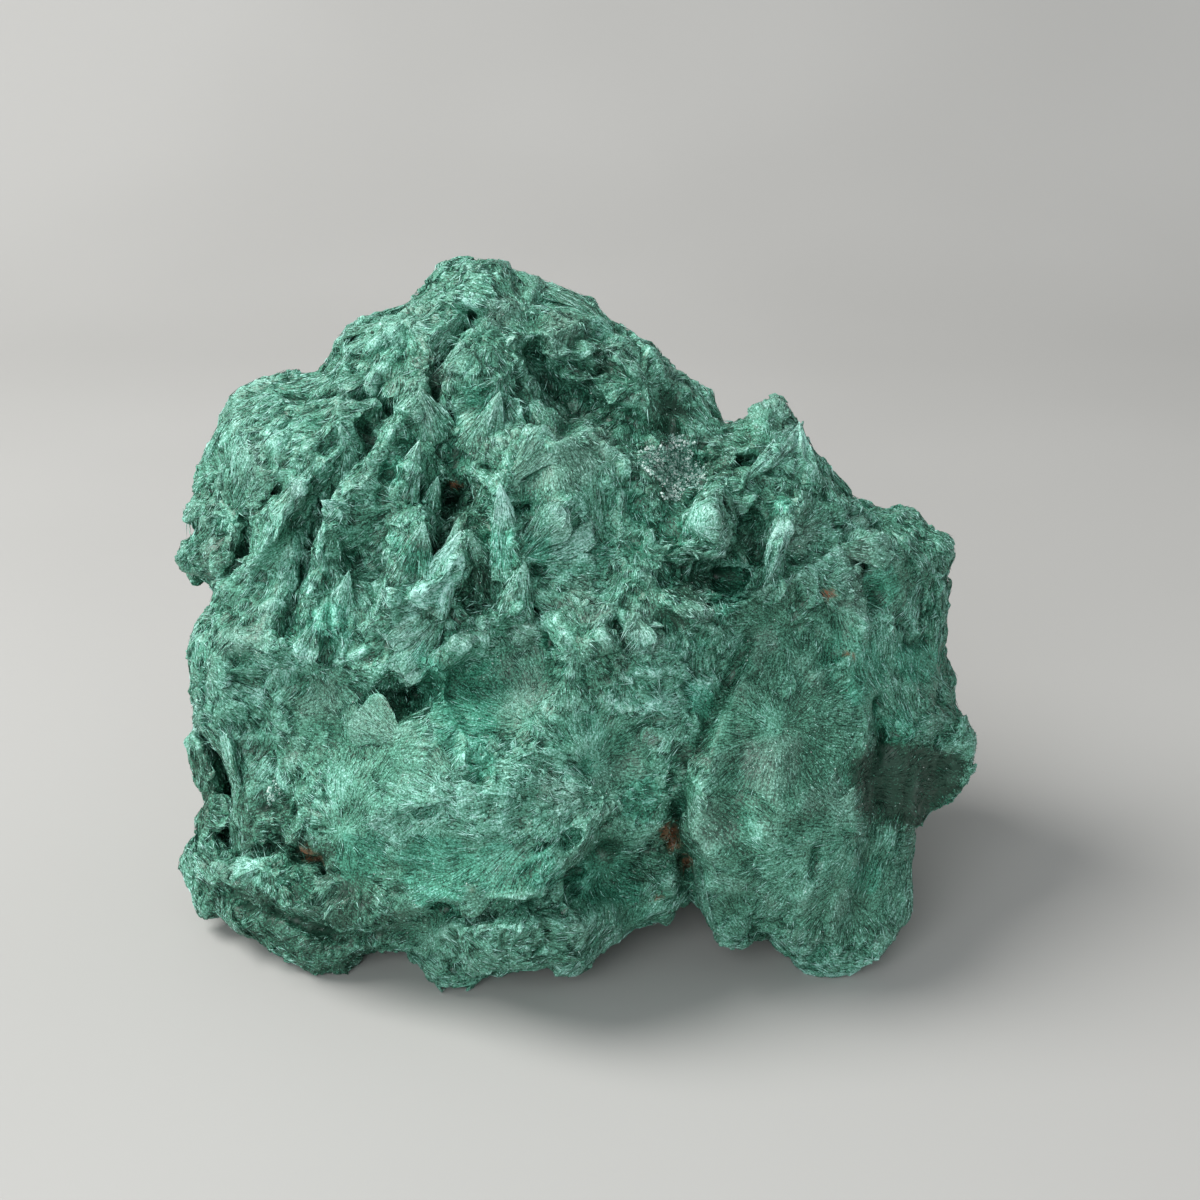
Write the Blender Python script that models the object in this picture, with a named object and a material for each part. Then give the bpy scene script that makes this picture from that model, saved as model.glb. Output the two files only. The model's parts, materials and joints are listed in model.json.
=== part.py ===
"""A rough piece of fibrous malachite, about 138 mm wide, that grew as one mass.

The stone has a broad ridged face that leans back, a plainer lumpy back, and feet that rest on z = 0.
The face was measured by eye from straight in front, so its features are placed on a sight plane:
u runs right, v runs up the leaning face, and w stands out of it towards the eye. Sizes are in
millimetres until the mesh is made, and the finished stone is in metres.
"""

import math

import bmesh
import bpy
import numpy as np
from mathutils import Vector, noise

MM = 0.001

# The sight plane leans back by LEAN and passes FOOT_DROP above the floor. The eye is SIGHT in front of it.
LEAN = math.radians(21)
FOOT_DROP = 58.7
SIGHT = 333.0

# The mass swells from its middle on the sight plane, towards the eye and away from it.
CENTRE = (-3.0, -3.0)
FRONT_BULGE = 24.0
BACK_BULGE = 45.0

# How square the mass is: 1 is an ellipsoid, and less is blockier.
SIDE_FULLNESS = 0.70
FACE_FULLNESS = 0.72

# Away from the rim its bumps and notches fade out. The mass there follows a smooth outline inside them.
RIM_FADE = 0.17
NOTCH_REACH = math.radians(6)
RIM_SMOOTHING = math.radians(16)

# How far round from the rim, as a sine, the face, the back and the underside reach their full form.
FACE_FADE = 0.22
BACK_FADE = 0.35
UNDERSIDE_FADE = 0.15

NOISE_SEED = 7
SPHERE_DETAIL = 7
TRIANGLES_KEPT = 0.117
FACE_FINENESS = 0.00001

STONE_COLOUR = (0.055, 0.250, 0.165, 1.0)
STONE_ROUGHNESS = 0.62

# The outline seen from the front, clockwise from the top: u, v, and how far that edge stands forward.
RIM = [
    (-21.5, 57, -10), (-16.5, 56.5, -10), (-13.5, 54, -10), (-9, 52.5, -11), (-3.5, 51, -12),
    (0, 48.5, -12), (3.5, 44.5, -12), (9, 41.5, -12), (13.5, 38, -13), (17, 35, -13),
    (18.5, 31.5, -13), (20.5, 28.5, -12), (24.5, 29, -9), (26.5, 31.5, -7), (29, 33, -7),
    (32.5, 31.5, -8), (34.5, 27, -9), (37.5, 22, -10), (42, 17, -12), (44.5, 15.5, -12),
    (50, 16, -12), (52.5, 15.5, -12), (55, 12, -13), (58.5, 9, -14), (58.5, 6.5, -14),
    (57, 3.5, -15), (57.5, -5, -16), (58.5, -14, -16), (59.5, -19.5, -15), (61.5, -24, -13),
    (61, -28.5, -12), (57.5, -33.5, -12), (53.5, -37, -11), (52, -42, -9), (50.5, -49, -6),
    (48.5, -56, -3), (44.5, -61.5, -1), (41, -63, 0), (36, -62, 0), (32.5, -61, -1),
    (30, -56.5, -2), (26, -57.5, 1), (22.5, -58.5, 3), (19.5, -57.5, 4), (17.5, -54, 2),
    (16, -50.5, -4), (14.5, -49, -6), (12, -52, -4), (6.5, -54.5, 0), (1.5, -57.5, 2),
    (-3.5, -62, 3), (-9, -61.5, 4), (-14, -62, 4), (-18.5, -62.5, 5), (-21.5, -64, 5),
    (-25.5, -64.5, 5), (-27.5, -62.5, 4), (-29, -59.5, 2), (-33.5, -58, 0), (-39, -59, -1),
    (-44, -61.5, -2), (-48.5, -62, -2), (-52.5, -58.5, -4), (-60, -54.5, -8), (-65.5, -52, -12),
    (-67.5, -48.5, -15), (-69.5, -43.5, -16), (-67.5, -40, -17), (-66.5, -33.5, -18),
    (-67.5, -27.5, -18), (-69, -23.5, -17), (-67, -20.5, -8), (-67.5, -16.5, -3), (-68.5, -10, -2),
    (-67.5, -4.5, -2), (-64.5, -1, -3), (-62, 2.5, -6), (-65.5, 3.5, -7), (-70, 6, -8),
    (-70.5, 8.5, -8), (-66.5, 11.5, -8), (-69, 14, -9), (-67, 17.5, -9), (-66.5, 21.5, -8),
    (-64.5, 28, -8), (-61.5, 33, -9), (-56.5, 37, -10), (-51.5, 38.5, -11), (-46.5, 37.5, -12),
    (-44.5, 41.5, -12), (-40.5, 46.5, -12), (-34.5, 48.5, -12), (-28.5, 51.5, -11),
    (-26, 55.5, -10),
]

# Broad swellings of the face: u, v, half width, half height, rise.
LUMPS = {
    "belly": (-28.5, -32.5, 38, 22, 7),
    "right block": (32.5, -31.5, 18.5, 30, 6),
    "left shoulder": (-55, 28.5, 12.5, 11, 4),
    "left flank": (-62.5, -10, 7.5, 10, 2),
    "upper plateau": (-6, 19, 12.5, 10, 5),
    "middle block": (5, -6.5, 16.5, 15, 5),
    "top knob": (-20, 51.5, 10, 7.5, 3),
    "upper slab": (-21, 39, 6.5, 8.5, 4),
    "right shoulder": (50, 7.5, 10, 9, 4),
    "overhung knob": (19, 14, 4.5, 6.5, 5),
    "lower skirt": (-16, -56.5, 17.5, 7.5, 5),
    "pale lobe": (-56.5, -44, 7, 4.5, 3),
    "lower left mass": (-50, -56, 13.5, 7.5, 3),
    "upper right shoulder": (6.5, 40, 12.5, 8.5, 3),
}

# Hollows and holes in the face: u, v, half width, half height, depth.
PITS = {
    "central funnel": (-23, 11, 15, 14, 7),
    "central hole": (-24, 17, 5, 4, 9),
    "valley floor": (-4, 34, 7.5, 4.5, 4),
    "sparkling hollow": (14, 21.5, 7.5, 6.5, 6),
    "black slot of the sparkling hollow": (23.5, 23, 4.5, 2, 8),
    "black hole under it": (16.5, 16, 2.5, 2.5, 6),
    "big hollow": (20, 3.5, 9, 5.5, 6),
    "left end of the big hollow": (12, 7, 6.5, 4.5, 4),
    "black notch": (39.5, 12.5, 2.5, 2, 8),
    "recess beside the belly": (4, -46.5, 14, 10, 7),
    "triangular hollow": (-31, -15, 7, 5.5, 6),
    "dark gap over the pale lobe": (-49, -43, 6.5, 2.5, 5),
    "gap at the left nub": (-59, 10, 2.5, 4.5, 5),
    "pit behind the middle fin": (-19.5, 0.5, 4.5, 3, 7),
    "pit beside the petal": (-27.5, 6.5, 2.5, 4, 5),
    "hole below the tall fin": (-10, -1, 2.5, 2.5, 6),
    "hole beside it": (-10.5, 4.5, 1.5, 1, 3),
    "upper pin hole": (-19.5, -29.5, 1.5, 1.5, 3),
    "lower pin hole": (-29, -35.5, 1.5, 1.5, 2.5),
    "pit in the foot": (-24, -62.5, 2.5, 1.5, 3),
    "upper ledge pit": (-5.5, -40.5, 2, 1.5, 4),
    "lower ledge pit": (-7, -47.5, 3, 2, 4),
    "gap beside the slab": (-36, 34.5, 3.5, 1.5, 5),
    "rusty pit": (14, -42.5, 2.5, 4.5, 4),
    "notch in the right foot": (29.5, -57.5, 2, 2.5, 4),
}

# Crests of the face: points of u, v and rise, then how far the crest reaches on its left and right.
CRESTS = {
    "left ridge": (
        [(-65.5, -2.5, 3), (-57.5, 6.5, 4), (-51.5, 16.5, 4), (-44, 25, 4), (-41, 29.5, 5), (-35.5, 33, 2)],
        7.5, 2,
    ),
    "second ridge": (
        [(-51, -2, 2), (-49, 6.5, 5), (-47, 11, 6), (-44.5, 17.5, 6), (-41, 22.5, 6), (-37, 27.5, 6),
         (-32.5, 30.5, 5), (-30, 35.5, 4)],
        2, 8,
    ),
    "spur": ([(-30, 25.5, 3), (-31.5, 20.5, 3), (-33.5, 16.5, 2)], 3, 3),
    "tall fin": ([(-17, 19, 11), (-16, 13.5, 11), (-15, 8, 9), (-14.5, 2, 5)], 4.5, 2.5),
    "middle fin": (
        [(-23, 13.5, 9), (-22.5, 11, 12), (-24.5, 7.5, 11), (-27, 4, 9), (-30, 2, 8), (-34.5, 0.5, 5)],
        8, 3.5,
    ),
    "petal": ([(-29.5, 13, 9), (-30.5, 8.5, 8), (-33, 3.5, 4)], 3, 6),
    "small blade": ([(-18, 20.5, 6), (-20.5, 15.5, 5)], 2, 2),
    "small peak": ([(-12.5, 6, 6), (-14.5, 1.5, 5), (-15.5, -2, 3)], 3, 3),
    "plateau rim": (
        [(-16, 25.5, 2), (-11.5, 28.5, 4), (-6.5, 26.5, 3), (-3, 28.5, 4), (0.5, 28.5, 4), (2.5, 24.5, 3),
         (7, 21.5, 3), (9.5, 16.5, 2)],
        2, 8,
    ),
    "feathered ridge": (
        [(-10.5, 43.5, 4), (-6.5, 45.5, 5), (-1.5, 46.5, 4), (3.5, 44, 4), (9, 40.5, 3), (15, 36, 2)],
        4, 3,
    ),
    "left of the tower": ([(28.5, 32.5, 4), (27.5, 28.5, 5), (23.5, 25.5, 3), (19.5, 20, 2)], 4, 4),
    "right of the tower": ([(29, 32.5, 4), (33.5, 26, 4), (38, 20, 3), (43.5, 15, 2)], 2, 5),
    "left rim of the big hollow": ([(8.5, 11, 3), (13.5, 4.5, 4), (17.5, -2, 4)], 1.5, 8),
    "lower rim of the big hollow": ([(17.5, -2.5, 4), (22.5, 0, 4), (27.5, 2.5, 4), (33.5, 4.5, 3)], 2, 6),
    "bright crest": ([(33, 16, 4), (31, 10, 5), (28.5, 4.5, 3)], 3, 3),
    "edge of the overhung knob": (
        [(17, 18.5, 3), (16.5, 12, 4), (15.5, 8.5, 4), (19, 8.5, 4), (23, 12, 2)],
        3, 3,
    ),
    "crest beside the triangle": ([(-21.5, -6.5, 3), (-26, -9, 4), (-27, -15, 4), (-25.5, -20.5, 3)], 6, 1.5),
    "sill of the triangle": ([(-42.5, -15, 1), (-38, -19, 3), (-33.5, -20.5, 3), (-25.5, -21, 3)], 2, 8),
    "log": ([(-29.5, -9.5, 4), (-33, -13.5, 4)], 1.5, 1.5),
    "fan ridge": ([(-61.5, -6.5, 3), (-55, -6.5, 3), (-47.5, -10.5, 3), (-36.5, -11.5, 1)], 5, 4),
    "lip of the belly": (
        [(-59.5, -49, 3), (-45, -53.5, 4), (-33.5, -52.5, 4), (-26.5, -50, 4), (-16.5, -50, 5),
         (-9, -48.5, 5), (-3.5, -41.5, 5), (0.5, -37.5, 3)],
        10, 2,
    ),
    "left rim of the right block": (
        [(19, -16.5, 2), (15.5, -26.5, 4), (14.5, -36.5, 4), (17, -46.5, 5), (19.5, -56, 4)],
        8, 2,
    ),
    "right rim of the right block": (
        [(45.5, -3.5, 3), (47, -16.5, 4), (45, -26.5, 4), (43.5, -38.5, 3), (41, -50, 2), (38.5, -59, 1)],
        3, 8,
    ),
    "lower facet edge": ([(38.5, -41.5, 1), (33.5, -51, 3), (32, -56.5, 3)], 5, 3),
    "edge of the middle block": ([(-9, 2, 3), (-8, -3, 3), (-3.5, -7, 3), (1, -6.5, 2)], 3, 5),
    "skirt crest": ([(-28, -54.5, 2), (-16.5, -53, 3), (-6.5, -54.5, 3), (0.5, -51, 2)], 3, 5),
    "left lip of the belly": ([(-67.5, -17, 3), (-63, -25, 4), (-60.5, -31.5, 5), (-61.5, -41.5, 4)], 7, 1.5),
    "left upper crest": ([(-45, 41.5, 2), (-40, 44, 3), (-33.5, 47, 3), (-27.5, 50.5, 2)], 3, 4),
    "knob crest": ([(-27.5, 52.5, 2), (-24, 55.5, 3), (-19, 56.5, 3), (-14.5, 54, 2)], 3, 3),
}

# Furrows of the face, in the same form as the crests, with a depth in place of the rise.
FURROWS = {
    "between the left ridges": (
        [(-34, 33.5, 4), (-36.5, 28.5, 6), (-39.5, 23, 6), (-46, 16, 6), (-49, 9, 6), (-50.5, 1.5, 5),
         (-52, -6.5, 2)],
        2, 2.5,
    ),
    "left of the slab": ([(-29, 36.5, 3), (-27, 33, 5), (-25.5, 28.5, 4), (-24, 21.5, 3)], 1.5, 1.5),
    "behind the plateau": (
        [(-11, 47, 2), (-10.5, 41.5, 5), (-8.5, 35, 7), (-1.5, 31, 7), (5, 28.5, 6), (10.5, 26, 4)],
        4, 4,
    ),
    "right slot": ([(41, 10.5, 4), (44.5, 5, 6)], 1, 1),
    "main cleft": (
        [(22.5, -10, 1), (18.5, -17.5, 3), (15.5, -25, 4), (13.5, -33.5, 5), (12.5, -39, 7), (15, -45, 8),
         (15, -51.5, 9)],
        3, 2.5,
    ),
    "left edge of the belly": (
        [(-68.5, -20.5, 5), (-65.5, -24, 8), (-63, -31, 9), (-62.5, -39, 9), (-61.5, -43.5, 6)],
        4, 1.5,
    ),
    "under the belly": (
        [(-58.5, -51.5, 3), (-43.5, -56, 4), (-31.5, -56.5, 4), (-26, -52, 4), (-13.5, -51.5, 4),
         (-7.5, -48.5, 5), (0, -41.5, 5)],
        2, 2.5,
    ),
    "right of the right block": (
        [(44.5, 1.5, 2), (46, -10, 3), (47.5, -23.5, 4), (45.5, -36.5, 4), (43, -50, 3)],
        3.5, 2,
    ),
    "above the belly": ([(-60, -15, 2), (-50, -12, 3), (-40, -8.5, 3), (-28.5, -6.5, 2)], 4, 4),
    "short cut": ([(3, -5.5, 2), (6.5, -8.5, 3)], 1.5, 1),
    "under the shoulder": ([(-56.5, 16.5, 2), (-50, 20.5, 2), (-45, 26.5, 1)], 2, 2),
    "upper cracks": ([(-26.5, 50, 2), (-21.5, 47, 3), (-16.5, 45, 2)], 1.5, 1.5),
    "notch of the tower": ([(18.5, 26.5, 3), (21.5, 28, 6), (24.5, 26.5, 6)], 2, 2),
}

CREST_SHARPNESS = 1.2
RELIEF_SCALE = 1.45

# Natural roughness: how far apart its bumps are, and how high.
WARP = (7.0, 1.3)
GRAIN = (8.5, 1.8)
SIDE_GRAIN = 0.4
BACK_RIDGES = (30.0, 6.0)
BACK_CREST_PERCENTILE = 85

# The stone rests on these feet, given as x and y below, and its underside arches up between them.
FEET = [(-24, -24), (-48, -20), (41, -22), (-26, 16), (27, 15)]
FOOT_REACH = (5.0, 21.0)
FOOT_PULL = 7.0
ARCH = 5.0
ARCH_FADE = 26.0


def clear_scene():
    for old in list(bpy.data.objects):
        bpy.data.objects.remove(old)


def malachite_material():
    material = bpy.data.materials.new("malachite")
    material.use_nodes = True
    shader = material.node_tree.nodes["Principled BSDF"]
    shader.inputs["Base Color"].default_value = STONE_COLOUR
    shader.inputs["Roughness"].default_value = STONE_ROUGHNESS
    shader.inputs["Metallic"].default_value = 0.0
    material.diffuse_color = STONE_COLOUR
    return material


def rim_at(angles, smooth):
    """The rim's distance from CENTRE and its stand, at these angles round the sight plane."""
    count = len(RIM)
    steps = np.linspace(0, 1, 12, endpoint=False)[:, None]
    points = np.array(RIM, float)
    curve = []
    for i in range(count):
        before, start, end, after = (points[(i + k) % count] for k in (-1, 0, 1, 2))
        curve.append(
            start
            + steps * (end - before) / 2
            + steps**2 * (before - 2.5 * start + 2 * end - after / 2)
            + steps**3 * (1.5 * (start - end) + (after - before) / 2)
        )
    curve = np.concatenate(curve)
    across, up = curve[:, 0] - CENTRE[0], curve[:, 1] - CENTRE[1]
    turn = np.arctan2(up, across)
    order = np.argsort(turn)
    fine = np.linspace(-math.pi, math.pi, 1440, endpoint=False)
    step = 2 * math.pi / len(fine)
    reach, stand = (
        np.interp(fine, turn[order], values[order], period=2 * math.pi)
        for values in (np.hypot(across, up), curve[:, 2])
    )
    if smooth:
        notch = round(NOTCH_REACH / step)
        reach = np.minimum.reduce([np.roll(reach, k) for k in range(-notch, notch + 1)])
        window = round(RIM_SMOOTHING / step)
        shares = np.hanning(2 * window + 1)
        shares /= shares.sum()
        reach, stand = (
            sum(share * np.roll(values, k - window) for k, share in enumerate(shares))
            for values in (reach, stand)
        )
    return [np.interp(angles, fine, values, period=2 * math.pi) for values in (reach, stand)]


def swelling(u, v, lump):
    """A smooth rise over an oval patch."""
    centre_u, centre_v, half_width, half_height, rise = lump
    inside = np.clip(1 - np.hypot((u - centre_u) / half_width, (v - centre_v) / half_height), 0, 1)
    return rise * inside**2 * (3 - 2 * inside)


def crest(u, v, line, left, right):
    """A rise that is full along the line and falls to nothing at its left and right reach."""
    height = np.zeros_like(u)
    for (start_u, start_v, start_rise), (end_u, end_v, end_rise) in zip(line, line[1:]):
        along_u, along_v = end_u - start_u, end_v - start_v
        share = ((u - start_u) * along_u + (v - start_v) * along_v) / (along_u**2 + along_v**2)
        share = np.clip(share, 0, 1)
        away = np.hypot(u - start_u - share * along_u, v - start_v - share * along_v)
        on_left = along_u * (v - start_v) - along_v * (u - start_u) > 0
        reach = np.where(on_left, left, right)
        rise = start_rise + share * (end_rise - start_rise)
        height = np.maximum(height, rise * (1 - np.clip(away / reach, 0, 1)) ** CREST_SHARPNESS)
    return height


def face_relief(u, v):
    """How far the face stands out at u, v from its plain pillow shape."""
    relief = sum(swelling(u, v, lump) for lump in LUMPS.values())
    relief -= sum(swelling(u, v, pit) for pit in PITS.values())
    relief += np.maximum.reduce([crest(u, v, *line) for line in CRESTS.values()])
    relief -= np.maximum.reduce([crest(u, v, *line) for line in FURROWS.values()])
    return relief


def ridged(points, scale, amount):
    """Crumpled ridges and valleys about that far apart, as a distance in or out."""
    fractal = [noise.ridged_multi_fractal(Vector(p / scale), 1.0, 2.0, 3, 0.9, 2.0) for p in points]
    fractal = np.array(fractal)
    return amount * (fractal - fractal.mean())


def wander(points, scale, amount):
    """A small smooth shift for each point, so that drawn lines come out ragged."""
    noise.seed_set(NOISE_SEED)
    return amount * np.array([noise.noise_vector(Vector(p / scale)) for p in points])


def sculpted(directions):
    """The stone's points in millimetres for unit directions, whose z looks towards the eye."""
    across, up, towards = directions.T
    angles = np.arctan2(up, across)
    at_rim = np.exp(-((towards / RIM_FADE) ** 2))
    reach, stand = (
        at_rim * exact + (1 - at_rim) * smooth
        for exact, smooth in zip(rim_at(angles, False), rim_at(angles, True))
    )
    spread = np.hypot(across, up)
    lateral = spread**SIDE_FULLNESS
    depth = np.sign(towards) * np.abs(towards) ** FACE_FULLNESS
    seen_u = CENTRE[0] + reach * lateral * np.cos(angles)
    seen_v = CENTRE[1] + reach * lateral * np.sin(angles)
    out = stand * lateral + np.where(towards > 0, FRONT_BULGE, BACK_BULGE) * depth

    plain = np.stack([seen_u, seen_v, out], 1)
    shift = wander(plain, *WARP)
    on_face = np.clip(towards / FACE_FADE, 0, 1)
    on_back = np.clip(-towards / BACK_FADE, 0, 1)
    relief = RELIEF_SCALE * face_relief(seen_u + shift[:, 0], seen_v + shift[:, 1])
    grain = ridged(plain, *GRAIN)
    out = out + on_face * (relief + grain)

    shrink = (SIGHT - out) / SIGHT
    points = np.stack([seen_u * shrink, seen_v * shrink, out], 1)
    valleys = ridged(plain, *BACK_RIDGES)
    push = on_back * (valleys - np.percentile(valleys, BACK_CREST_PERCENTILE))
    push += (1 - on_face) * (SIDE_GRAIN + on_back) * grain
    return points + directions * push[:, None], np.clip(-towards / UNDERSIDE_FADE, 0, 1)


def standing(points, behind):
    """Sight plane points turned to stand upright, with the feet a little below z = 0."""
    across, up, out = points.T
    x = across
    y = up * math.sin(LEAN) - out * math.cos(LEAN)
    z = up * math.cos(LEAN) + out * math.sin(LEAN) + FOOT_DROP

    nearest = np.minimum.reduce([np.hypot(x - foot_x, y - foot_y) for foot_x, foot_y in FEET])
    foot_edge, arch_edge = FOOT_REACH
    away = np.clip((nearest - foot_edge) / (arch_edge - foot_edge), 0, 1)
    away = away * away * (3 - 2 * away)
    low = np.clip(1 - z / ARCH_FADE, 0, 1)
    return np.stack([x, y, z + behind * low * (ARCH * away - FOOT_PULL * (1 - away))], 1)


def floor_cutter(size):
    """A box whose top is z = 0. It cuts the feet flat."""
    bpy.ops.mesh.primitive_cube_add(size=size, location=(0, 0, -size / 2))
    cutter = bpy.context.object
    cutter.name = "floor_cutter"
    cutter.hide_render = True
    cutter.display_type = "WIRE"
    return cutter


def plainer_side(stone):
    """Marks the skin by how far it turns from the eye, because fewer and larger facets do there."""
    group = stone.vertex_groups.new(name="plainer side")
    eye = Vector((0, -math.cos(LEAN), math.sin(LEAN)))
    for vertex in stone.data.vertices:
        turned = 0.5 - 1.5 * vertex.normal.dot(eye)
        group.add([vertex.index], min(max(turned, 0.05), 1), "REPLACE")
    return group.name


def make_stone():
    ball = bmesh.new()
    bmesh.ops.create_icosphere(ball, subdivisions=SPHERE_DETAIL, radius=1.0)
    directions = np.array([vertex.co.normalized() for vertex in ball.verts])
    for vertex, place in zip(ball.verts, standing(*sculpted(directions)) * MM):
        vertex.co = place
    mesh = bpy.data.meshes.new("malachite")
    ball.to_mesh(mesh)
    ball.free()

    stone = bpy.data.objects.new("malachite", mesh)
    bpy.context.scene.collection.objects.link(stone)
    mesh.materials.append(malachite_material())

    facets = stone.modifiers.new("facets", "DECIMATE")
    facets.ratio = TRIANGLES_KEPT
    facets.vertex_group = plainer_side(stone)
    facets.vertex_group_factor = FACE_FINENESS
    feet = stone.modifiers.new("flat feet", "BOOLEAN")
    feet.operation = "DIFFERENCE"
    feet.object = floor_cutter(0.4)
    return stone


def centre_over_origin(stone):
    """Moves the stone so that its box is centred over the origin."""
    bpy.context.view_layer.update()
    finished = stone.evaluated_get(bpy.context.evaluated_depsgraph_get())
    corners = np.array([vertex.co for vertex in finished.data.vertices])
    middle = (corners.min(0) + corners.max(0)) / 2
    stone.location = (-middle[0], -middle[1], 0)


clear_scene()
centre_over_origin(make_stone())
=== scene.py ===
"""A rough lump of velvet malachite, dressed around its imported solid.

The stone is one grown mass. Its skin is carved with the crags, fins, gullies and
pits of the photographed face, and everything that grows on it follows the same
sprays: fans of fine needles that each spread from one root.
"""

import json
import math

import bpy
import numpy as np
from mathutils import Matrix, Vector
from mathutils.bvhtree import BVHTree
from mathutils.kdtree import KDTree

import time

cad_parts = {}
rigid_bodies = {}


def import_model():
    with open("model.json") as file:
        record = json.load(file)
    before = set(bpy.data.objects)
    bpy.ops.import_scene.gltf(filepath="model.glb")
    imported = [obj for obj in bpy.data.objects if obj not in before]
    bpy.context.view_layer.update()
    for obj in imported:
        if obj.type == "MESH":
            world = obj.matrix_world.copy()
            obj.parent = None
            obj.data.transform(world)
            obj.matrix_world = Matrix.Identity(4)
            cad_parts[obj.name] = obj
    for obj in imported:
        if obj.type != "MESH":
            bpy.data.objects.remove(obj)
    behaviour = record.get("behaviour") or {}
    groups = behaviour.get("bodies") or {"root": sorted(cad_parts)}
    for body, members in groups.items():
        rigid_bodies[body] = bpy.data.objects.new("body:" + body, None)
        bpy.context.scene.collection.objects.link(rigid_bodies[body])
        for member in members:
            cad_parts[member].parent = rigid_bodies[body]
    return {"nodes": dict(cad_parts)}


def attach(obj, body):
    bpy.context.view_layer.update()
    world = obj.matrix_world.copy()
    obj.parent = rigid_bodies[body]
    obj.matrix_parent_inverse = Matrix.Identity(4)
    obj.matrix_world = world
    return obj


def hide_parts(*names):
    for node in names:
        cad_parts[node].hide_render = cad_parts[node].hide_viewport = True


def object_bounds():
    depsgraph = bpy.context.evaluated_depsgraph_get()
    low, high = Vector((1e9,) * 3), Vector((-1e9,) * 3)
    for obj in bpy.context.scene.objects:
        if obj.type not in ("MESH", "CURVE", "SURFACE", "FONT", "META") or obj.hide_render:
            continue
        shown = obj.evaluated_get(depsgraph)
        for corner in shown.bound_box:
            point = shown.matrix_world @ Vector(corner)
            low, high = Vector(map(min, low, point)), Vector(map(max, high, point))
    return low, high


started = time.time()
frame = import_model()
solid_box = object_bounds()

# Camera
# It looks at the stone as the photograph does: level across, 21 degrees down,
# from a third of a metre away.
MM = 0.001
LEAN = math.radians(21)
SIGHT = 333.3 * MM
AIM = np.array((4.456, -5.801, 58.7)) * MM
ACROSS = np.array((1.0, 0.0, 0.0))
UP = np.array((0.0, math.sin(LEAN), math.cos(LEAN)))
TOWARDS_EYE = np.array((0.0, -math.cos(LEAN), math.sin(LEAN)))
PHOTO_MIDDLE = 600
PHOTO_SCALE = 6 / MM

bpy.ops.object.select_all(action="DESELECT")
bpy.ops.object.camera_add(
    location=Vector(AIM + TOWARDS_EYE * SIGHT), rotation=(math.pi / 2 - LEAN, 0, 0)
)
camera = bpy.context.object
camera.name = "camera"
camera.data.lens = 60
camera.data.sensor_width = 36
camera.data.clip_start = 0.01
bpy.context.scene.camera = camera


# Floor
# A pale matt sheet that sweeps up behind the stone, as under a studio shot.
FLOOR_SIZE = 3.0
SWEEP_BACK = 0.85
SWEEP_HEIGHT = 1.6
SWEEP_ROUNDING = 0.45

bpy.ops.object.select_all(action="DESELECT")
bpy.ops.mesh.primitive_plane_add(size=FLOOR_SIZE, location=(0, SWEEP_BACK - FLOOR_SIZE / 2, 0))
floor = bpy.context.object
floor.name = "floor"
bpy.ops.object.transform_apply(location=True, rotation=True, scale=True)
bpy.ops.object.mode_set(mode="EDIT")
bpy.ops.mesh.select_mode(type="EDGE")
bpy.ops.mesh.select_all(action="DESELECT")
bpy.ops.object.mode_set(mode="OBJECT")
for edge in floor.data.edges:
    ends = [floor.data.vertices[i].co.y for i in edge.vertices]
    edge.select = min(ends) > SWEEP_BACK - 0.01
bpy.ops.object.mode_set(mode="EDIT")
bpy.ops.mesh.extrude_region_move(TRANSFORM_OT_translate={"value": (0, 0, SWEEP_HEIGHT)})
bpy.ops.object.mode_set(mode="OBJECT")
for edge in floor.data.edges:
    ends = [floor.data.vertices[i].co for i in edge.vertices]
    edge.select = all(abs(end.y - SWEEP_BACK) < 0.01 and end.z < 0.01 for end in ends)
bpy.ops.object.mode_set(mode="EDIT")
bpy.ops.mesh.bevel(offset=SWEEP_ROUNDING, segments=24, affect="EDGES")
bpy.ops.object.mode_set(mode="OBJECT")
bpy.ops.object.shade_smooth()


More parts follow.
